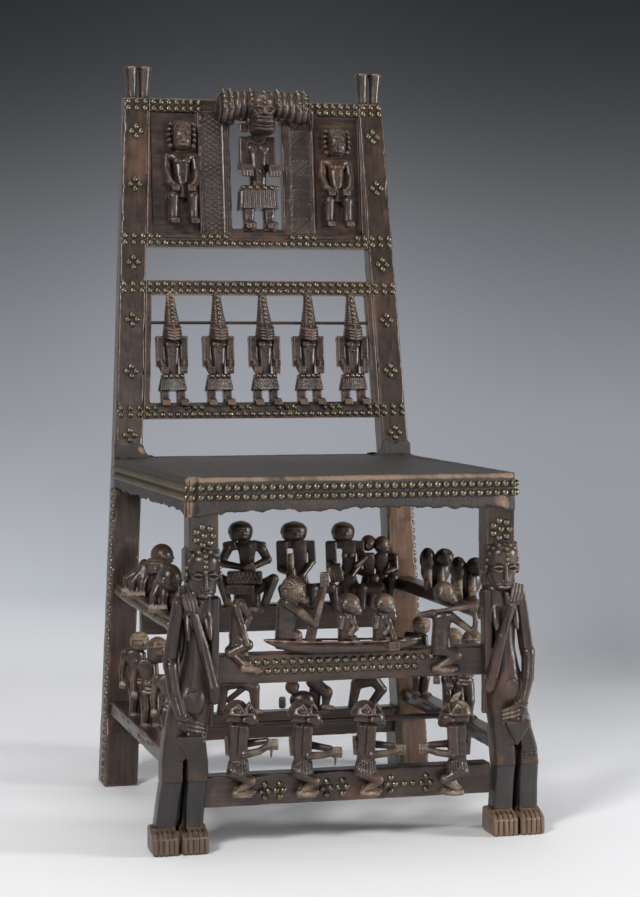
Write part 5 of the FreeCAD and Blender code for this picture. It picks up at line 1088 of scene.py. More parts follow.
def back_post(side):
    near, far = sorted((side * 146, side * 250))
    f = Field((near, 160, -4), (far, 284, 996), FINE * 1.35)
    f.at((0, 0, 0), mirror=side < 0)
    rings = []
    for z, wide, deep in ((0, 38, 46), (BEND, 38, 37), (POST_TOP, 35, 22)):
        x1 = outer_post(z)
        y0 = front_post(z)
        rings.append((z, x1 - wide, x1, y0, y0 + deep))
    f.prism(rings, 2.2)
    # widened foot with a shoulder
    x1 = outer_post(0)
    f.prism([(z, outer_post(z) - wide, outer_post(z), front_post(z) - lip, front_post(z) + deep)
             for z, wide, lip, deep in ((0, 46, 7, 46), (72, 46, 7, 44), (92, 38, 0, 43))], 2.2, 1.5)
    f.groove([(x1 - 48, front_post(74) - 7, 74, 0.9), (x1 + 1, front_post(74) - 7, 74, 0.9)])
    # horns
    middle = 169.1 if side > 0 else 165.6
    for shift in (-9.4, 9.4):
        lean = shift * 0.06
        f.loft([(946, 6.8, 6.8, -lean * 2), (958, 6.9, 6.9, -lean), (975, 8.0, 8.0), (988, 9.3, 9.3, lean),
                (991, 9.7, 9.7, lean), (991.8, 9.4, 9.4, lean)], 0.5, 2, base=(middle + shift, 262, 0))
        f.ball((middle + shift, 262, 993.0), (6.8, 6.8, 2.6), 0.6, hollow=True)
        f.spot((middle + shift, 256, 991), 7, 0.9)
    # worn corners and dents
    rng = np.random.default_rng(7 if side > 0 else 8)
    for _ in range(POST_DENTS):
        z = rng.uniform(100, 930)
        x = outer_post(z) - (0 if rng.random() > 0.5 else 37)
        f.ball((x + rng.uniform(-1, 1), front_post(z) + rng.uniform(-1.5, 0.5), z),
               (rng.uniform(1.5, 3), 2.0, rng.uniform(3, 16)), 1.5, hollow=True)
    for _ in range(POST_SCRATCHES):
        z = rng.uniform(80, 900)
        y = front_post(z) + rng.uniform(6, 26)
        f.groove([(outer_post(z) + 0.4, y, z, 0.8), (outer_post(z + 40), y + rng.uniform(-2, 2),
                                                     z + rng.uniform(20, 60), 0.7)])
    # pale spots on the front faces below the seat, much stronger on the right post: partly worn bare wood,
    # partly painted light
    for z, amount in ((415, 1.0), (370, 1.7 if side > 0 else 0.4), (320, 1.7 if side > 0 else 0.3),
                      (150, 1.1 if side > 0 else 0.3)):
        f.spot((outer_post(z) - 22, front_post(z), z), 34, amount)
    return f.rough(0.35, grain=16, seed=3)


def band_weave(f, x0, x1, z0, z1, y):
    """A lattice of small raised diamonds between crossing cuts."""
    wide, pitch, slope = x1 - x0, 7.2, 0.62
    for i in range(-int(wide * slope / pitch) - 1, int((z1 - z0) / pitch) + 1):
        low = z0 + i * pitch
        a, b = max(0.0, (z0 - low) / slope), min(wide, (z1 - low) / slope)
        if b - a > 1.5:
            f.groove([(x0 + a, y, low + a * slope, 1.3), (x0 + b, y, low + b * slope, 1.3)])
            f.groove([(x1 - a, y, low + a * slope, 1.3), (x1 - b, y, low + b * slope, 1.3)])


def crest():
    """The crest panel, in the plane of the back."""
    f = Field((-166, -58, 286), (166, 24, 522), FINE * 0.8)
    low, top = 293.1, 502.5
    f.prism([(low, -inner_back(low), inner_back(low), 0, 18), (top, -inner_back(top), inner_back(top), 0,
                                                               18)], 1.2)
    for side in (-1, 1):
        for near, far, deep, edge, k in ((84, 151.3, 5.0, 1.2, 0.5), (50, 79, 1.8, 0.4, 0.3)):
            sunk = (*sorted((side * near, side * far)), -5, deep)
            f.prism([(312.1, *sunk), (483.5, *sunk)], edge, k, True)
        for x in (49.0, 80.6):
            f.groove([(side * x, -0.1, 314, 0.9), (side * x, -0.1, 482, 0.9)])
        for x in (42.0, 45.4):
            f.groove([(side * x, -0.2, 312, 0.8), (side * x, -0.2, 472, 0.8)])
    band_weave(f, -78, -51, 315, 481, 1.6)
    band_chevrons(f, 52.0, 77.5, 315, 481, 1.6)
    f.prism([(320, -37.5, 37.5, -10, 30), (473, -37.5, 37.5, -10, 30)], 2.0, 0.8, True)
    for z in (299.5, 303.0, 307.2):
        f.groove(both_ways((156, -0.3, z, 0.7)))
    f.at((7.8, -14, 493.2), scale=0.96)
    headdress(f)
    f.at((0.6, 3, 312.4), scale=187)
    chief(f)
    for x, z, tall in ((-109.6, 320.5, 149), (114, 319, 145)):
        f.at((x, -3.5, z), scale=tall)
        relief_figure(f)
    return f.rough(0.16, grain=7, seed=5)


def back_panel():
    """The open panel with five figures in tall hats, in the plane of the back."""
    low, high = 53.2, 246.4
    f = Field((-178, -20, 48), (178, 24, 252), FINE * 0.86)
    f.prism([(low, -inner_back(low), inner_back(low), 0, 15), (high, -inner_back(high), inner_back(high), 0,
                                                               15)], 1.4)
    a, b = low + 22.3, high - 19.7
    f.prism([(a, -inner_back(a) + 9, inner_back(a) - 9, -8, 24), (b, -inner_back(b) + 9, inner_back(b) - 9,
                                                                  -8, 24)], 1.5, 0.8, True)
    for z in (57.5, 71.0, 231.5, 242.5):
        f.groove(both_ways((inner_back(z) - 2, -0.2, z, 0.7)))
    for i, shift in zip(range(-2, 3), (2.5, 3.5, 5, 3, 2.5)):
        f.at((i * 65 + shift * 0.8, 3.5, 73.5), scale=154)
        hat_figure(f, 20 + i)
    return f.rough(0.16, grain=7, seed=6)


def plank(f, half, low, height, front, depth):
    """A rung's board, with wavy, worn edges."""
    f.prism([(low, -half, half, front, front + depth), (low + height, -half, half, front, front + depth)],
            1.6)
    rng = np.random.default_rng(int(low * 10))
    for _ in range(RUNG_DENTS):
        x = rng.uniform(-half, half)
        f.ball((x, front + rng.uniform(-1.2, 0.2), low + (0 if rng.random() > 0.5 else height)),
               (rng.uniform(4, 18), rng.uniform(1.5, 2.6), rng.uniform(1.2, 2.2)), 1.5, hollow=True)


def populate(f, rows):
    """Carves a rung's figures. Each row gives a place, the figure and what else it takes."""
    for place, figure, *rest in rows:
        f.at(place, FACING)
        figure(f, *rest)


def front_upper():
    f = Field((-184, -288, 193), (184, -214, 344))
    plank(f, half=178, low=199.6, height=35.4, front=-248.2, depth=26)
    # the canoe: a smooth trough whose ends rise to points
    hull = [(-106.3, 0.6, 1.4, 251.0), (-98, 5.0, 3.2, 248.6), (-84, 9.5, 5.6, 245.2),
            (-60, 13.5, 7.6, 242.4), (-10, 15.5, 8.0, 240.4), (40, 14.5, 7.4, 240.2), (64, 11.0, 5.6, 241.8),
            (80, 6.5, 4.0, 244.2), (88.6, 1.0, 1.8, 246.6)]
    f.loft([(x, tall, wide, -(z - 240), 0) for x, wide, tall, z in hull], 0.8, 2.5, (0, 90, 0),
           (0, -250, 240), smooth=True)
    for side in (-1, 1):
        f.limb([(x, -250 + side * wide * 0.93, z + tall - 0.6, 1.5) for x, wide, tall, z in hull], 0.5)
    f.loft([(x, 6.0, max(wide - 3.0, 0.5), -(z + 5.0 - 240), 0) for x, wide, tall, z in hull[2:-1]], 0.5, 2.6,
           (0, 90, 0), (0, -250, 240), hollow=True, smooth=True)
    for x, wide, tall, z in hull:
        f.spot((x, -250 - wide, z + tall), 5.5, 1.5)
    populate(f, (
        ((-135, -246, 235.5), porter),
        ((-77.5, -249, 244.5), steersman),
        ((-5.5, -249, 242.5), paddler, False),
        ((38.2, -249, 241.5), paddler, True),
        ((119.5, -252, 203.2), hunter),
    ))
    return f.rough(0.16, grain=7, seed=11)


def front_lower():
    f = Field((-186, -284, 45), (186, -206, 196))
    plank(f, half=183, low=51, height=37.5, front=-240.2, depth=26)
    rows = ((-138.5, 64.4, 8), (-59.4, 60.4, 0), (19.9, 57.6, 2))
    populate(f, [((x, -248, z), smith, False, lift) for x, z, lift in rows])
    f.at((137.2, -248, 52.5), FACING, mirror=True)
    smith(f, True, 3)
    return f.rough(0.16, grain=7, seed=12)


def rear_upper():
    f = Field((-212, 140, 198), (212, 216, 368), FINE * 1.1)
    plank(f, half=176, low=204.5, height=37.7, front=184.4, depth=24)
    populate(f, (
        ((-26.6, 190, 239), akimbo),
        ((49.1, 190, 236.5), slab_arms, True),
        ((120.6, 190, 234.5), slab_arms, False),
        ((165.8, 190, 234), couple),
    ))
    return f.rough(0.18, grain=7, seed=13)


def rear_lower():
    f = Field((-202, 156, 49), (202, 220, 150), FINE * 1.1)
    plank(f, half=192, low=55, height=36.5, front=177.6, depth=24)
    rows = ((-128, "knees", 5), (-40, "arch", 1), (46, "head", 2), (80, "shin", 3), (146, "knees", 4))
    populate(f, [((x, 187, 90), crawler, kind, seed) for x, kind, seed in rows])
    return f.rough(0.18, grain=7, seed=14)


def side_plank(f, side, outer, low, height, wide):
    x0, x1 = sorted((side * (outer - wide), side * outer))
    f.prism([(low, x0, x1, -233, 189), (low + height, x0, x1, -233, 189)], 2.4)
    rng = np.random.default_rng(int(low) + side)
    for _ in range(SIDE_DENTS):
        f.ball((x0 if rng.random() > 0.5 else x1, rng.uniform(-225, 180), low + rng.uniform(-1, height + 1)),
               (rng.uniform(1, 2), rng.uniform(6, 22), rng.uniform(1.5, 3)), 1.6, hollow=True)


SIDE_FIGURES = {
    # (side, upper): the figures' X, height, form, and a row of Y and what the form takes
    (-1, True): (-201, 274.5, hunched, ((72, "dome", 2), (30, "face", 1), (-122, "grey", 3))),
    (1, True): (199, 274.5, bowed, ((32, 0), (-98, 1))),
    (-1, False): (-206, 114.5, watcher, ((60, "plain", 1), (-26, "ringed", 2), (-168, "ringed", 3))),
    (1, False): (206, 114.5, watcher, ((132, "plain", 0), (-8, "plain", 1), (-62, "ringed", 2))),
}


def side_rung(side, upper):
    near, far = sorted((side * 148, side * 254))
    low, high = (252, 372) if upper else (92, 252)
    f = Field((near, -246, low), (far, 200, high), FINE * 1.1)
    if upper:
        side_plank(f, side, outer=213, low=259, height=17, wide=26)
    else:
        side_plank(f, side, outer=223, low=98, height=18, wide=26)
    x, z, figure, rows = SIDE_FIGURES[side, upper]
    populate(f, [((x, y, z), figure, *rest) for y, *rest in rows])
    f.at((0, 0, 0))
    if upper:
        f.groove([(side * 213, -225, 273.2, 1.2), (side * 213, 180, 273.2, 1.2)])
    return f.rough(0.18, grain=8, seed=15 + side + (4 if upper else 0))


def leg(side):
    near, far = sorted((side * 150, side * 251))
    f = Field((near, -290, -3), (far, -205, 450))
    knee, ankle = ((13, 43), (11, 44)) if side > 0 else ((3.5, 34), (9, 42))
    woman(f, side, (knee[1], knee[0]), (ankle[1], ankle[0]))
    return f.rough(0.16, grain=8, seed=21 + side)


# Meshes from the fields


def to_object(name, points, faces, attributes=None):
    """A mesh object in metres from points in millimetres."""
    mesh = bpy.data.meshes.new(name)
    points = np.asarray(points, np.float32) * MM
    faces = np.asarray(faces, np.int32)
    mesh.vertices.add(len(points))
    mesh.vertices.foreach_set("co", points.ravel())
    width = faces.shape[1]
    mesh.loops.add(faces.size)
    mesh.loops.foreach_set("vertex_index", faces.ravel())
    mesh.polygons.add(len(faces))
    mesh.polygons.foreach_set("loop_start", np.arange(0, faces.size, width, dtype=np.int32))
    mesh.polygons.foreach_set("use_smooth", np.ones(len(faces), bool))
    for key, values in (attributes or {}).items():
        layer = mesh.attributes.new(key, "FLOAT", "POINT")
        layer.data.foreach_set("value", np.asarray(values, np.float32))
    mesh.update(calc_edges=True)
    mesh.validate()
    obj = bpy.data.objects.new(name, mesh)
    bpy.context.scene.collection.objects.link(obj)
    return obj


def in_back(points):
    """From the plane of the back to the chair's frame."""
    return np.asarray(points) @ rotation(BACK_TURN).T + BACK_ORIGIN


def domes(name, tacks, place=None, sides=10):
    """Small domed tack heads. Each is (centre, direction, diameter) in millimetres."""
    points, faces, tone = [], [], []
    rng = np.random.default_rng(len(tacks))
    for centre, out, size in tacks:
        out = Vector(out).normalized()
        side = out.orthogonal().normalized()
        over = out.cross(side)
        base = len(points)
        r = size / 2
        shade = rng.random()
        levels = [(1.0, -0.5), (1.0, 0.0), (0.9, 0.38), (0.62, 0.66), (0.28, 0.8)]
        for wide, high in levels:
            for i in range(sides):
                a = 2 * math.pi * i / sides
                p = Vector(centre) + (side * math.cos(a) + over * math.sin(a)) * r * wide + out * r * high
                points.append(tuple(p))
                tone.append(shade)
        points.append(tuple(Vector(centre) + out * r * 0.83))
        tone.append(shade)
        for j in range(len(levels) - 1):
            for i in range(sides):
                a, b = base + j * sides + i, base + j * sides + (i + 1) % sides
                faces.append((a, b, b + sides, a + sides))
        tip = len(points) - 1
        for i in range(0, sides, 2):
            a = base + (len(levels) - 1) * sides
            faces.append((a + i, a + (i + 1) % sides, a + (i + 2) % sides, tip))
    points = np.array(points)
    if place:
        points = place(points)
    return to_object(name, points, faces, {"shade": tone})


# Seat hide


HIDE_LOW, HIDE_NOTCH, HIDE_ROLL = 407.5, 440.0, 443.4  # heights of its edge and its roll
HIDE_THICK = 2.2


def hide():
    """The haired hide: a thin sheet over the seat frame, down its sides and up the posts' faces."""
    # X, Y and radius of the corners, seen from above
    corners = [(-213, 191, 0), (-205, -273.2, 12), (205, -273.2, 12), (213, 191, 0), (172.4, 191, 0),
               (172.4, 222.6, 5), (-172.4, 222.6, 5), (-172.4, 191, 0)]
    path, kind = [], []
    count = len(corners)
    for i in range(count):
        a, b = np.array(corners[i][:2], float), np.array(corners[(i + 1) % count][:2], float)
        ra, rb = corners[i][2], corners[(i + 1) % count][2]
        run = (b - a) / np.linalg.norm(b - a)
        start, end = a + run * ra, b - run * rb
        steps = max(int(np.linalg.norm(end - start) / 3.2), 2)
        free = not (i in (3, 4, 6, 7))
        for j in range(steps):
            path.append(start + (end - start) * j / steps)
            kind.append(1.0 if free else 0.0)
        if rb:
            c = np.array(corners[(i + 2) % count][:2], float)
            turn = (c - b) / np.linalg.norm(c - b)
            for j in range(7):
                t = j / 6
                angle = t * math.pi / 2
                path.append(b - run * rb * (1 - math.sin(angle)) + turn * rb * (1 - math.cos(angle)))
                kind.append(1.0)
    path = np.array(path)
    kind = np.array(kind)
    ahead = np.roll(path, -1, 0) - np.roll(path, 1, 0)
    normal = np.stack([ahead[:, 1], -ahead[:, 0]], 1)
    normal /= np.linalg.norm(normal, axis=1)[:, None]
    if (normal * (path - path.mean(0))).sum() < 0:
        normal = -normal
    n = len(path)
    place = np.arange(n)

    def wave(size, seed):
        """Random values along the edge, each as long as size."""
        count = int(n / size) + 1
        values = np.random.default_rng(seed).uniform(-1, 1, count)
        return np.interp(place / size, np.arange(count + 1), np.r_[values, 0])

    ragged = 2.2 * wave(9, 1) + 1.8 * wave(3.2, 2) + 1.2 * np.abs(np.sin(place * 0.42)) + 0.8 * wave(1, 3)
    corner = np.exp(-((np.abs(path[:, 0]) - 196) / 22) ** 2) * np.exp(-((path[:, 1] + 262) / 26) ** 2)
    fold = np.exp(-(np.hypot(path[:, 0] + 203, path[:, 1] + 271) / 6.5) ** 2)
    low = HIDE_LOW + ragged - 5.0 * corner
    centre = np.array([0, -25.0])
    points, tan = [], []
    for share in (0.03, 0.12, 0.25, 0.4, 0.55, 0.68, 0.78, 0.86, 0.92):
        ring = centre + (path - centre) * share
        z = 449.0 - 4.5 * (1 - share ** 2) ** 1.5 + 0.5 * wave(11, int(share * 100)) * share
        points.append(np.c_[ring, z])
        tan.append(np.zeros(n))
    for inset in (16, 11, 8, 5.6, 3.6, 2.0, 0.9, 0.2):
        ring = path - normal * inset
        sag = 449.4 - (6 - math.sqrt(max(36 - max(6 - inset, 0) ** 2, 0)))
        points.append(np.c_[ring, np.full(n, sag) + 0.25 * wave(5, int(inset * 10))])
        front = np.clip((-path[:, 1] - 255) / 18, 0, 1)
        rubbed = 1.0 if inset < 3 else 0.45 if inset < 5 else 0.1 if inset < 9 else 0
        line = np.clip(0.82 + 0.35 * wave(9, 40) + 0.2 * wave(2, 41), 0, 1) * front * rubbed
        knob = np.exp(-(np.hypot(path[:, 0] + 199, path[:, 1] + 270) / 12) ** 2) * (inset < 9) * 1.2
        tan.append(np.maximum(np.maximum(line, fold), knob))
    steps = 13
    for j in range(steps):
        t = (j + 1) / steps
        bottom = np.where(kind > 0, low, HIDE_NOTCH)
        z = HIDE_ROLL + (bottom - HIDE_ROLL) * t
        out = 0.35 * wave(7, 50 + j // 3) * t + 0.8 * np.sin(place * 0.21 + t * 2) * t * t - 0.3
        points.append(np.c_[path + normal * out[:, None], z])
        edge = np.clip(0.9 * wave(7, 60) + 0.4 * wave(1.5, 61), 0, 1) * (t > 0.93) * 0.55
        edge = np.maximum(edge, fold * (0.85 + 0.3 * wave(2, 62)))
        edge = np.maximum(edge, corner * (t > 0.55) * np.clip(0.3 + wave(2.5, 63), 0, 1))
        tan.append(edge)
    rows = len(points)
    points = np.concatenate(points)
    tan = np.concatenate(tan)
    faces = []
    for j in range(rows - 1):
        for i in range(n):
            a, b = j * n + i, j * n + (i + 1) % n
            faces.append((a, a + n, b + n, b))
    points = list(map(tuple, points))
    points.append((centre[0], centre[1], 444.5))
    tan = list(tan) + [0]
    hub = len(points) - 1
    for i in range(0, n, 2):
        faces.append((hub, i, (i + 1) % n, (i + 2) % n))
    # flaps nailed up the posts
    for side in (-1, 1):
        base = len(points)
        wide, high = 14, 8  # faces across and up
        for j in range(high + 1):
            for i in range(wide + 1):
                u, v = i / wide, j / high
                x = side * ((171.4 - 12.0 * (1 - v) ** 2) * (1 - u) + 212 * u)
                top = 19.5 + 2.6 * math.sin(u * 9 + side) + 1.4 * math.sin(u * 23)
                y = 190.9 - 0.9 * math.sin(v * 2.6) - (0.5 if v == 1 else 0) + 0.12 * v * top
                points.append((x, y, 447.6 + top * v))
                bare = math.exp(-((u - 0.14) / 0.12) ** 2 - ((v - 0.62) / 0.28) ** 2) * (side < 0)
                tan.append(max(bare, max(0.0, v - 0.75) * 1.6 * (0.45 + 0.45 * math.sin(u * 14 + side))))
        for j in range(high):
            for i in range(wide):
                a = base + j * (wide + 1) + i
                quad = (a, a + 1, a + wide + 2, a + wide + 1)
                faces.append(quad if side > 0 else quad[::-1])
    obj = to_object("seat_hide_skin", points, faces, {"tan": tan})
    thick = obj.modifiers.new("thick", "SOLIDIFY")
    thick.thickness = HIDE_THICK * MM
    thick.offset = -1
    bake(obj)
    return obj


def bake(obj):
    """Applies the modifiers of an object to its mesh."""
    graph = bpy.context.evaluated_depsgraph_get()
    mesh = bpy.data.meshes.new_from_object(obj.evaluated_get(graph))
    obj.modifiers.clear()
    old = obj.data
    obj.data = mesh
    bpy.data.meshes.remove(old)


# Materials

# Colours in linear light. A pair runs from the low to the high end of a pattern.
DARK_WOOD = (0.013, 0.0085, 0.0068, 1), (0.045, 0.026, 0.018, 1)
WARM_WOOD = (0.052, 0.025, 0.017, 1), (0.112, 0.053, 0.031, 1)
BARE_WOOD = (0.15, 0.096, 0.064, 1), (0.37, 0.275, 0.19, 1)
GREY_WOOD = (0.013, 0.012, 0.012, 1), (0.032, 0.029, 0.028, 1)
OCHRE_WOOD = (0.085, 0.048, 0.027, 1), (0.21, 0.135, 0.08, 1)
RAW_AND_LIT_WOOD = (0.125, 0.066, 0.04, 1), (0.27, 0.155, 0.096, 1)
HAIR = (0.0055, 0.0045, 0.004, 1), (0.03, 0.022, 0.017, 1)
TOP_HAIR_SHEEN = (0.016, 0.014, 0.014, 1), (0.06, 0.054, 0.053, 1)
LEATHER = (0.11, 0.066, 0.038, 1), (0.3, 0.2, 0.12, 1)
BRIGHT_BRASS = (0.24, 0.212, 0.15, 1), (0.42, 0.372, 0.275, 1)
DULL_BRASS = (0.052, 0.042, 0.028, 1), (0.13, 0.108, 0.074, 1)
WORN_EDGE = (0.175, 0.1, 0.064, 1)
PAINTED_CUT_SHADE = (0.006, 0.0045, 0.004, 1)
ABOVE_KNEE = (0.024, 0.016, 0.012, 1)
RUST = (0.085, 0.038, 0.018, 1)
RUBBED_HAIR = (0.05, 0.032, 0.022, 1)
PALE_FLOOR = (0.8, 0.812, 0.84, 1)
SHADED_FLOOR = (0.36, 0.37, 0.4, 1)
SKY = (0.62, 0.64, 0.68, 1)


class Nodes:
    """Short helper to wire a material."""

    def __init__(self, name):
        self.material = bpy.data.materials.new(name)
        self.material.use_nodes = True
        self.tree = self.material.node_tree
        self.shader = self.tree.nodes["Principled BSDF"]

    def add(self, kind, inputs=None, **props):
        node = self.tree.nodes.new(kind)
        for key, value in props.items():
            setattr(node, key, value)
        for key, value in (inputs or {}).items():
            self.set(node.inputs[key], value)
        return node

    def set(self, socket, value):
        if isinstance(value, bpy.types.NodeSocket):
            self.tree.links.new(value, socket)
        else:
            socket.default_value = value

    def math(self, kind, *values):
        return self.add("ShaderNodeMath", dict(enumerate(values)), operation=kind).outputs[0]

    def times(self, a, b):
        return self.math("MULTIPLY", a, b)

    def plus(self, a, b):
        return self.math("ADD", a, b)

    def span(self, value, low, high, a=0.0, b=1.0):
        node = self.add("ShaderNodeMapRange", {0: value, 1: low, 2: high, 3: a, 4: b})
        node.clamp = True
        return node.outputs[0]

    def mix(self, share, a, b, kind="MIX"):
        node = self.add("ShaderNodeMix", data_type="RGBA", blend_type=kind)
        node.clamp_factor = True
        self.set(node.inputs[0], share)
        self.set(node.inputs[6], a)
        self.set(node.inputs[7], b)
        return node.outputs[2]

    def blend(self, value, low, high, pair):
        """A colour between the two of a pair, as value goes from low to high."""
        return self.mix(self.span(value, low, high), *pair)

    def noise(self, place, scale, detail=3.0, rough=0.55):
        return self.add("ShaderNodeTexNoise", {"Vector": place, "Scale": scale, "Detail": detail,
                                               "Roughness": rough}).outputs[0]

    def place(self, stretch=(1, 1, 1)):
        where = self.add("ShaderNodeTexCoord").outputs["Object"]
        return self.add("ShaderNodeMapping", {"Vector": where, "Scale": stretch}).outputs[0]

    def attribute(self, name):
        return self.add("ShaderNodeAttribute", attribute_name=name).outputs["Fac"]


def wood(name, along="z", red=0.5, grey_knee=False, patina_and_shade=1.0, bare_and_lit_foot=0.0):
    """Dark polished hardwood: red-brown on worn ground, tan where bare, and painted shade that makes its cuts
    nearly black.
    """
    m = Nodes(name)
    where = m.place()
    stretch = {"z": (60, 60, 5), "x": (5, 60, 60), "y": (60, 5, 60)}[along]
    grain = m.noise(m.place(stretch), 4.0, 4.0, 0.6)
    cloud = m.noise(where, 14.0, 3.0, 0.6)
    patch = m.noise(where, 38.0, 4.0, 0.65)
    fine = m.noise(where, 420.0, 2.0, 0.6)
    dark = m.blend(grain, 0.35, 0.68, DARK_WOOD)
    warm = m.blend(grain, 0.3, 0.7, WARM_WOOD)
    share = m.span(m.plus(m.times(cloud, 0.7), m.times(patch, 0.3)), 0.62 - 0.22 * red, 0.8 - 0.18 * red)
    colour = m.mix(share, dark, warm)
    edge = m.attribute("edge")
    spots = m.attribute("spots")
    worn = m.times(m.span(edge, 0.16, 0.62), m.span(patch, 0.36, 0.66))
    colour = m.mix(m.times(worn, 0.62), colour, WORN_EDGE)
    # painted shade: hollows, where the edge share is low, are darkened nearly to black
    deep = m.span(edge, -0.05, -0.55)
    colour = m.mix(m.times(deep, 0.85), colour, PAINTED_CUT_SHADE)
    bare = m.times(spots, m.span(m.plus(edge, m.times(patch, 0.9)), 0.1, 0.75))
    tan = m.blend(grain, 0.35, 0.7, BARE_WOOD)
    colour = m.mix(m.span(bare, 0.12, 0.6), colour, tan)
    if grey_knee:
        # heights in metres: pale feet to 0.034, grey shins to 0.089, then a rusty and a dark stretch
        height = m.add("ShaderNodeSeparateXYZ", {0: m.add("ShaderNodeTexCoord").outputs["Object"]}).outputs[2]
        line = m.plus(height, m.times(patch, 0.003))
        below = m.times(m.span(line, 0.0895, 0.0885), m.span(line, 0.034, 0.04))
        grey = m.blend(grain, 0.3, 0.7, GREY_WOOD)
        colour = m.mix(m.times(below, 0.9), colour, grey)
        above = m.times(m.span(line, 0.089, 0.091), m.span(line, 0.15, 0.13))
        colour = m.mix(m.times(above, 0.72), colour, ABOVE_KNEE)
        rust = m.times(m.span(line, 0.089, 0.091), m.span(line, 0.112, 0.094))
        colour = m.mix(m.times(rust, m.span(patch, 0.46, 0.62)), colour, RUST)
        sole = m.span(line, 0.036, 0.03)
        ochre = m.blend(grain, 0.35, 0.7, OCHRE_WOOD)
        colour = m.mix(m.times(sole, m.span(edge, -0.3, 0.15)), colour, ochre)
    if bare_and_lit_foot:
        # the outer part of the post below the seat, beyond a line that leans as the post does, painted
        # orange: partly bare wood, partly painted light
        split = m.add("ShaderNodeSeparateXYZ", {0: m.add("ShaderNodeTexCoord").outputs["Object"]})
        front = m.plus(split.outputs[0], m.times(split.outputs[2], 0.0485))
        low = m.times(m.span(front, 0.1955, 0.1975), m.span(split.outputs[2], 0.46, 0.42))
        low = m.times(low, m.span(split.outputs[2], 0.05, 0.3, 0.45, 1.0))
        raw_and_lit = m.blend(grain, 0.3, 0.7, RAW_AND_LIT_WOOD)
        colour = m.mix(m.times(m.times(low, bare_and_lit_foot), m.span(patch, 0.15, 0.55)), colour, raw_and_lit)
    # partly a darker patina, partly painted shade: the whole colour is scaled down
    if patina_and_shade != 1.0:
        colour = m.mix(1.0, colour, (patina_and_shade, patina_and_shade, patina_and_shade, 1), "MULTIPLY")
    m.set(m.shader.inputs["Base Color"], colour)
    rough = m.span(m.plus(m.times(cloud, 0.5), m.times(fine, 0.5)), 0.3, 0.75, 0.25, 0.47)
    rough = m.plus(rough, m.times(m.span(bare, 0.12, 0.6), 0.2))
    rough = m.plus(rough, m.times(deep, 0.18))
    m.set(m.shader.inputs["Roughness"], rough)
    m.shader.inputs["Specular IOR Level"].default_value = 0.55
    relief = m.plus(m.times(grain, 0.7), m.times(fine, 0.35))
    bump = m.add("ShaderNodeBump", {"Height": relief, "Strength": 0.28, "Distance": 0.0011})
    m.set(m.shader.inputs["Normal"], bump.outputs[0])
    return m.material


def brass(name, attribute=None):
    """Dull tacks: each with its own tarnish, flecked with bright specks."""
    m = Nodes(name)
    where = m.place()
    own = m.attribute(attribute) if attribute else m.add("ShaderNodeNewGeometry").outputs["Random Per Island"]
    speck = m.noise(where, 900.0, 3.0, 0.65)
    bright = m.mix(own, *BRIGHT_BRASS)
    dull = m.mix(own, *DULL_BRASS)
    share = m.span(m.plus(speck, m.times(own, 0.3)), 0.32, 0.72)
    m.set(m.shader.inputs["Base Color"], m.mix(share, bright, dull))
    m.shader.inputs["Metallic"].default_value = 0.88
    m.set(m.shader.inputs["Roughness"], m.span(speck, 0.3, 0.75, 0.24, 0.46))
    bump = m.add("ShaderNodeBump", {"Height": speck, "Strength": 0.12, "Distance": 0.0006})
    m.set(m.shader.inputs["Normal"], bump.outputs[0])
    return m.material


def hide_material(name):
    """Black hair on hide, rubbed to tan leather along its worn edges, with a painted sheen that makes its top
    lighter and greyer.
    """
    m = Nodes(name)
    where = m.place()
    hair = m.noise(m.place((220, 220, 42)), 3.0, 4.0, 0.65)
    top = m.noise(m.place((260, 45, 260)), 3.0, 4.0, 0.65)
    up = m.add("ShaderNodeSeparateXYZ", {0: m.add("ShaderNodeNewGeometry").outputs["Normal"]}).outputs[2]
    strands = m.add("ShaderNodeMix", {0: m.span(up, 0.4, 0.8)}, data_type="FLOAT")
    m.set(strands.inputs[2], hair)
    m.set(strands.inputs[3], top)
    strand = strands.outputs[0]
    cloud = m.noise(where, 30.0, 4.0, 0.6)
    colour = m.blend(strand, 0.35, 0.72, HAIR)
    colour = m.mix(m.times(m.span(cloud, 0.52, 0.75), 0.6), colour, RUBBED_HAIR)
    # painted sheen: the hair on upward faces is lighter and greyer
    painted_top_sheen = m.blend(strand, 0.3, 0.75, TOP_HAIR_SHEEN)
    colour = m.mix(m.times(m.span(up, 0.6, 0.95), 0.75), colour, painted_top_sheen)
    tan = m.attribute("tan")
    share = m.span(m.plus(tan, m.times(m.math("SUBTRACT", cloud, 0.5), 0.9)), 0.35, 0.75)
    leather = m.blend(strand, 0.3, 0.7, LEATHER)
    m.set(m.shader.inputs["Base Color"], m.mix(share, colour, leather))
    m.set(m.shader.inputs["Roughness"], m.span(strand, 0.3, 0.7, 0.42, 0.7))
    bump = m.add("ShaderNodeBump", {"Height": strand, "Strength": 0.75, "Distance": 0.002})
    m.set(m.shader.inputs["Normal"], bump.outputs[0])
    return m.material


# Build everything


# How each carved piece is made, the way that its grain runs, and what its function takes
CARVED = {
    "left_back_post": (back_post, "z", -1),
    "right_back_post": (back_post, "z", 1),
    "left_front_leg": (leg, "z", -1),
    "right_front_leg": (leg, "z", 1),
    "crest_panel": (crest, "x"),
    "back_panel": (back_panel, "x"),
    "front_upper_rung": (front_upper, "x"),
    "front_lower_rung": (front_lower, "x"),
    "rear_upper_rung": (rear_upper, "x"),
    "rear_lower_rung": (rear_lower, "x"),
    "left_upper_rung": (side_rung, "y", -1, True),
    "right_upper_rung": (side_rung, "y", 1, True),
    "left_lower_rung": (side_rung, "y", -1, False),
    "right_lower_rung": (side_rung, "y", 1, False),
}


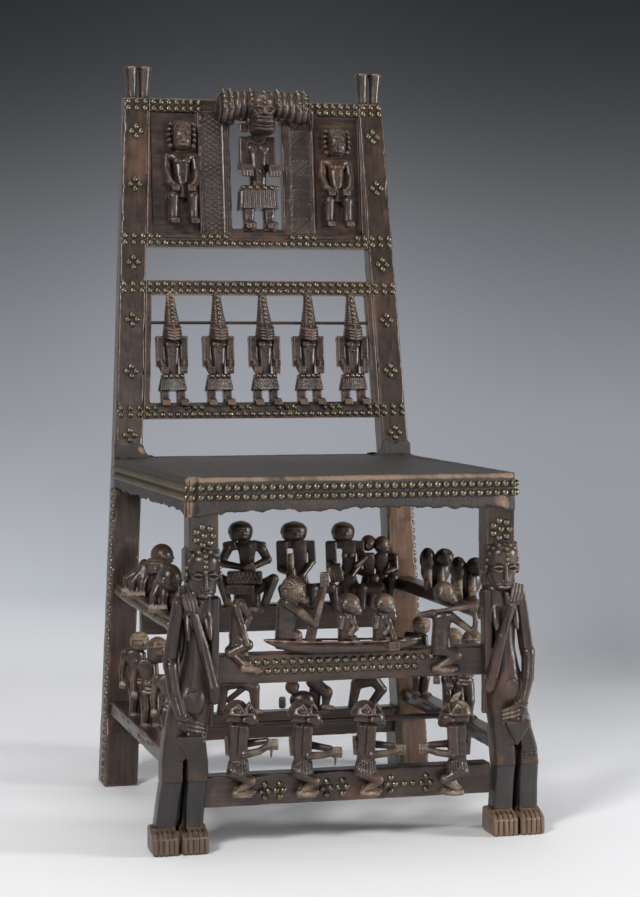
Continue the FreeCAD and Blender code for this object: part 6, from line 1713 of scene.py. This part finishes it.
def build_all():
    def carve(item):
        name, (make, along, *rest) = item
        field = make(*rest)
        place = in_back if make in (crest, back_panel) else None
        return name, along, place, field.surface(), field.tacks

    with ThreadPoolExecutor(4) as pool:
        results = list(pool.map(carve, CARVED.items()))
    woods = {
        "z": wood("polished wood upright", "z", 0.55),
        "x": wood("polished wood across", "x", 0.5),
        "y": wood("polished wood along", "y", 0.55),
        # the right post below the seat is painted orange: partly bare wood, partly painted light
        "right_back_post": wood("wood of the right post", "z", 0.45, bare_and_lit_foot=0.9),
        # the left leg's wood is darker: partly patina, partly painted shade
        "left_front_leg": wood("wood of the left leg, darker patina and painted shade", "z", 0.5, grey_knee=True, patina_and_shade=0.62),
        "right_front_leg": wood("polished wood of the right leg", "z", 0.6, grey_knee=True),
    }
    small_brass = brass("small brass tacks", "shade")
    for name, along, place, (points, faces, (edge, spots)), tacks in results:
        if place:
            points = place(points)
        piece = to_object(name + "_carved", points, faces, {"edge": edge, "spots": spots})
        piece.data.materials.append(woods.get(name, woods[along]))
        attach(piece, "root")
        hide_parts(name)
        if tacks:
            heads = domes(name + "_small_tacks", tacks, place)
            heads.data.materials.append(small_brass)
            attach(heads, "root")
    skin = hide()
    skin.data.materials.append(hide_material("haired hide"))
    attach(skin, "root")
    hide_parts("seat_hide")
    big_brass = brass("brass tacks")
    for name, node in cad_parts.items():
        node.data.materials.clear()
        if "tacks" in name:
            node.data.materials.append(big_brass)
        else:
            node.data.materials.append(woods["y" if "left_seat" in name or "right_seat" in name else "x"])


build_all()


# Stage, lights and camera


def backdrop():
    """A pale floor that sweeps up behind the chair; seen from the camera its upper part glows, painted light
    that dims with height.
    """
    bend, r, wall = 1.1, 0.9, 2.0  # metres behind the chair
    profile = [(-6.0, 0.0), (-3.0, 0.0), (0.0, 0.0), (bend, 0.0)]
    profile += [(bend + r * math.sin(a), r - r * math.cos(a)) for a in np.linspace(0.05, math.pi / 2, 18)]
    profile += [(wall, 1.5), (wall, 2.5), (wall, 4.5)]
    xs = np.linspace(-6, 7, 14)
    c, s = math.cos(YAW), math.sin(YAW)
    points = [((x * c + y * s) * 1000, (-x * s + y * c) * 1000, z * 1000) for y, z in profile for x in xs]
    n = len(xs)
    cells = [j * n + i for j in range(len(profile) - 1) for i in range(n - 1)]
    faces = [(a, a + 1, a + n + 1, a + n) for a in cells]
    obj = to_object("studio_sweep", points, faces)
    m = Nodes("studio sweep")
    split = m.add("ShaderNodeSeparateXYZ", {0: m.add("ShaderNodeTexCoord").outputs["Object"]})
    # painted light: for the camera and in reflections the sweep glows, bright low and dark high
    ramp = m.add("ShaderNodeValToRGB", {0: m.span(split.outputs[2], 0.0, 1.5)})
    stops = [(0.0, 0.46), (0.12, 0.4), (0.28, 0.31), (0.42, 0.225), (0.58, 0.132), (0.72, 0.062),
             (0.85, 0.032), (1.0, 0.02)]
    band = ramp.color_ramp
    band.interpolation = "B_SPLINE"
    while len(band.elements) < len(stops):
        band.elements.new(0.5)
    for element, (at, value) in zip(band.elements, stops):
        element.position = at
        element.color = (value * 0.96, value, value * 1.09, 1)
    # painted light: brighter behind the chair, and painted shade: darker to the right near the floor
    across = m.math("SUBTRACT", m.times(split.outputs[0], c), m.times(split.outputs[1], s))
    off = m.math("DIVIDE", m.plus(across, 0.1), 0.42)
    pool = m.times(m.math("EXPONENT", m.times(m.times(off, off), -1.0)), 0.42)
    pool = m.times(pool, m.span(split.outputs[2], 0.3, 0.65))
    painted_right_shade = m.times(m.span(across, -0.6, 0.6, 0.3, -0.3), m.span(split.outputs[2], 0.45, 0.0))
    strength = m.plus(m.plus(pool, painted_right_shade), 1.0)
    glow = m.add("ShaderNodeEmission", {"Color": ramp.outputs[0], "Strength": strength})
    ray = m.add("ShaderNodeLightPath")
    seen = m.math("MAXIMUM", ray.outputs["Is Camera Ray"], m.times(ray.outputs["Is Glossy Ray"], 0.45))
    share = m.times(seen, m.span(split.outputs[2], 0.0, 0.1))
    mixer = m.add("ShaderNodeMixShader", {0: share})
    # painted shadow: the floor is darker to the right and further back
    deep = m.plus(m.times(split.outputs[0], s), m.times(split.outputs[1], c))
    shade = m.times(m.span(across, 0.0, 0.6), m.span(deep, 0.5, 1.3))
    m.set(m.shader.inputs["Base Color"], m.mix(shade, PALE_FLOOR, SHADED_FLOOR))
    m.shader.inputs["Roughness"].default_value = 0.7
    m.tree.links.new(m.shader.outputs[0], mixer.inputs[1])
    m.tree.links.new(glow.outputs[0], mixer.inputs[2])
    m.tree.links.new(mixer.outputs[0], m.tree.nodes["Material Output"].inputs[0])
    obj.data.materials.append(m.material)


def lamp(name, at, target, size, power, colour=(1, 1, 1)):
    light = bpy.data.lights.new(name, "AREA")
    light.shape = "RECTANGLE"
    light.size, light.size_y = size
    light.energy = power
    light.color = colour
    obj = bpy.data.objects.new(name, light)
    obj.location = at
    obj.rotation_euler = (Vector(target) - Vector(at)).to_track_quat("-Z", "Y").to_euler()
    bpy.context.scene.collection.objects.link(obj)


backdrop()
lamp("key", at=(-1.75, -2.2, 1.95), target=(0, 0, 0.5), size=(0.65, 0.7), power=76, colour=(1.0, 0.97, 0.93))
lamp("right fill", at=(2.35, -1.05, 0.8), target=(0, 0, 0.3), size=(0.35, 0.9), power=52,
     colour=(1.0, 0.985, 0.96))
lamp("front", at=(0.35, -3.3, 0.75), target=(0, 0.1, 0.3), size=(0.9, 0.5), power=12)
lamp("top", at=(0.1, -0.1, 2.8), target=(0, 0, 0.4), size=(1.6, 1.6), power=24)
lamp("left rim", at=(-2.3, 0.9, 1.2), target=(0, 0, 0.5), size=(0.6, 1.6), power=5, colour=(1.0, 0.98, 0.96))

world = bpy.data.worlds.new("studio")
world.use_nodes = True
world.node_tree.nodes["Background"].inputs[0].default_value = SKY
world.node_tree.nodes["Background"].inputs[1].default_value = 0.1
bpy.context.scene.world = world

lens = bpy.data.cameras.new("photo camera")
lens.lens = 88.4
lens.sensor_width = 36
camera = bpy.data.objects.new("photo camera", lens)
camera.location = (-0.7135, -2.797, 0.6045)
aim = Vector((math.sin(YAW) * math.cos(PITCH), math.cos(YAW) * math.cos(PITCH), math.sin(PITCH)))
camera.rotation_euler = aim.to_track_quat("-Z", "Y").to_euler()
bpy.context.scene.collection.objects.link(camera)
bpy.context.scene.camera = camera
bpy.context.scene.view_settings.view_transform = "Standard"
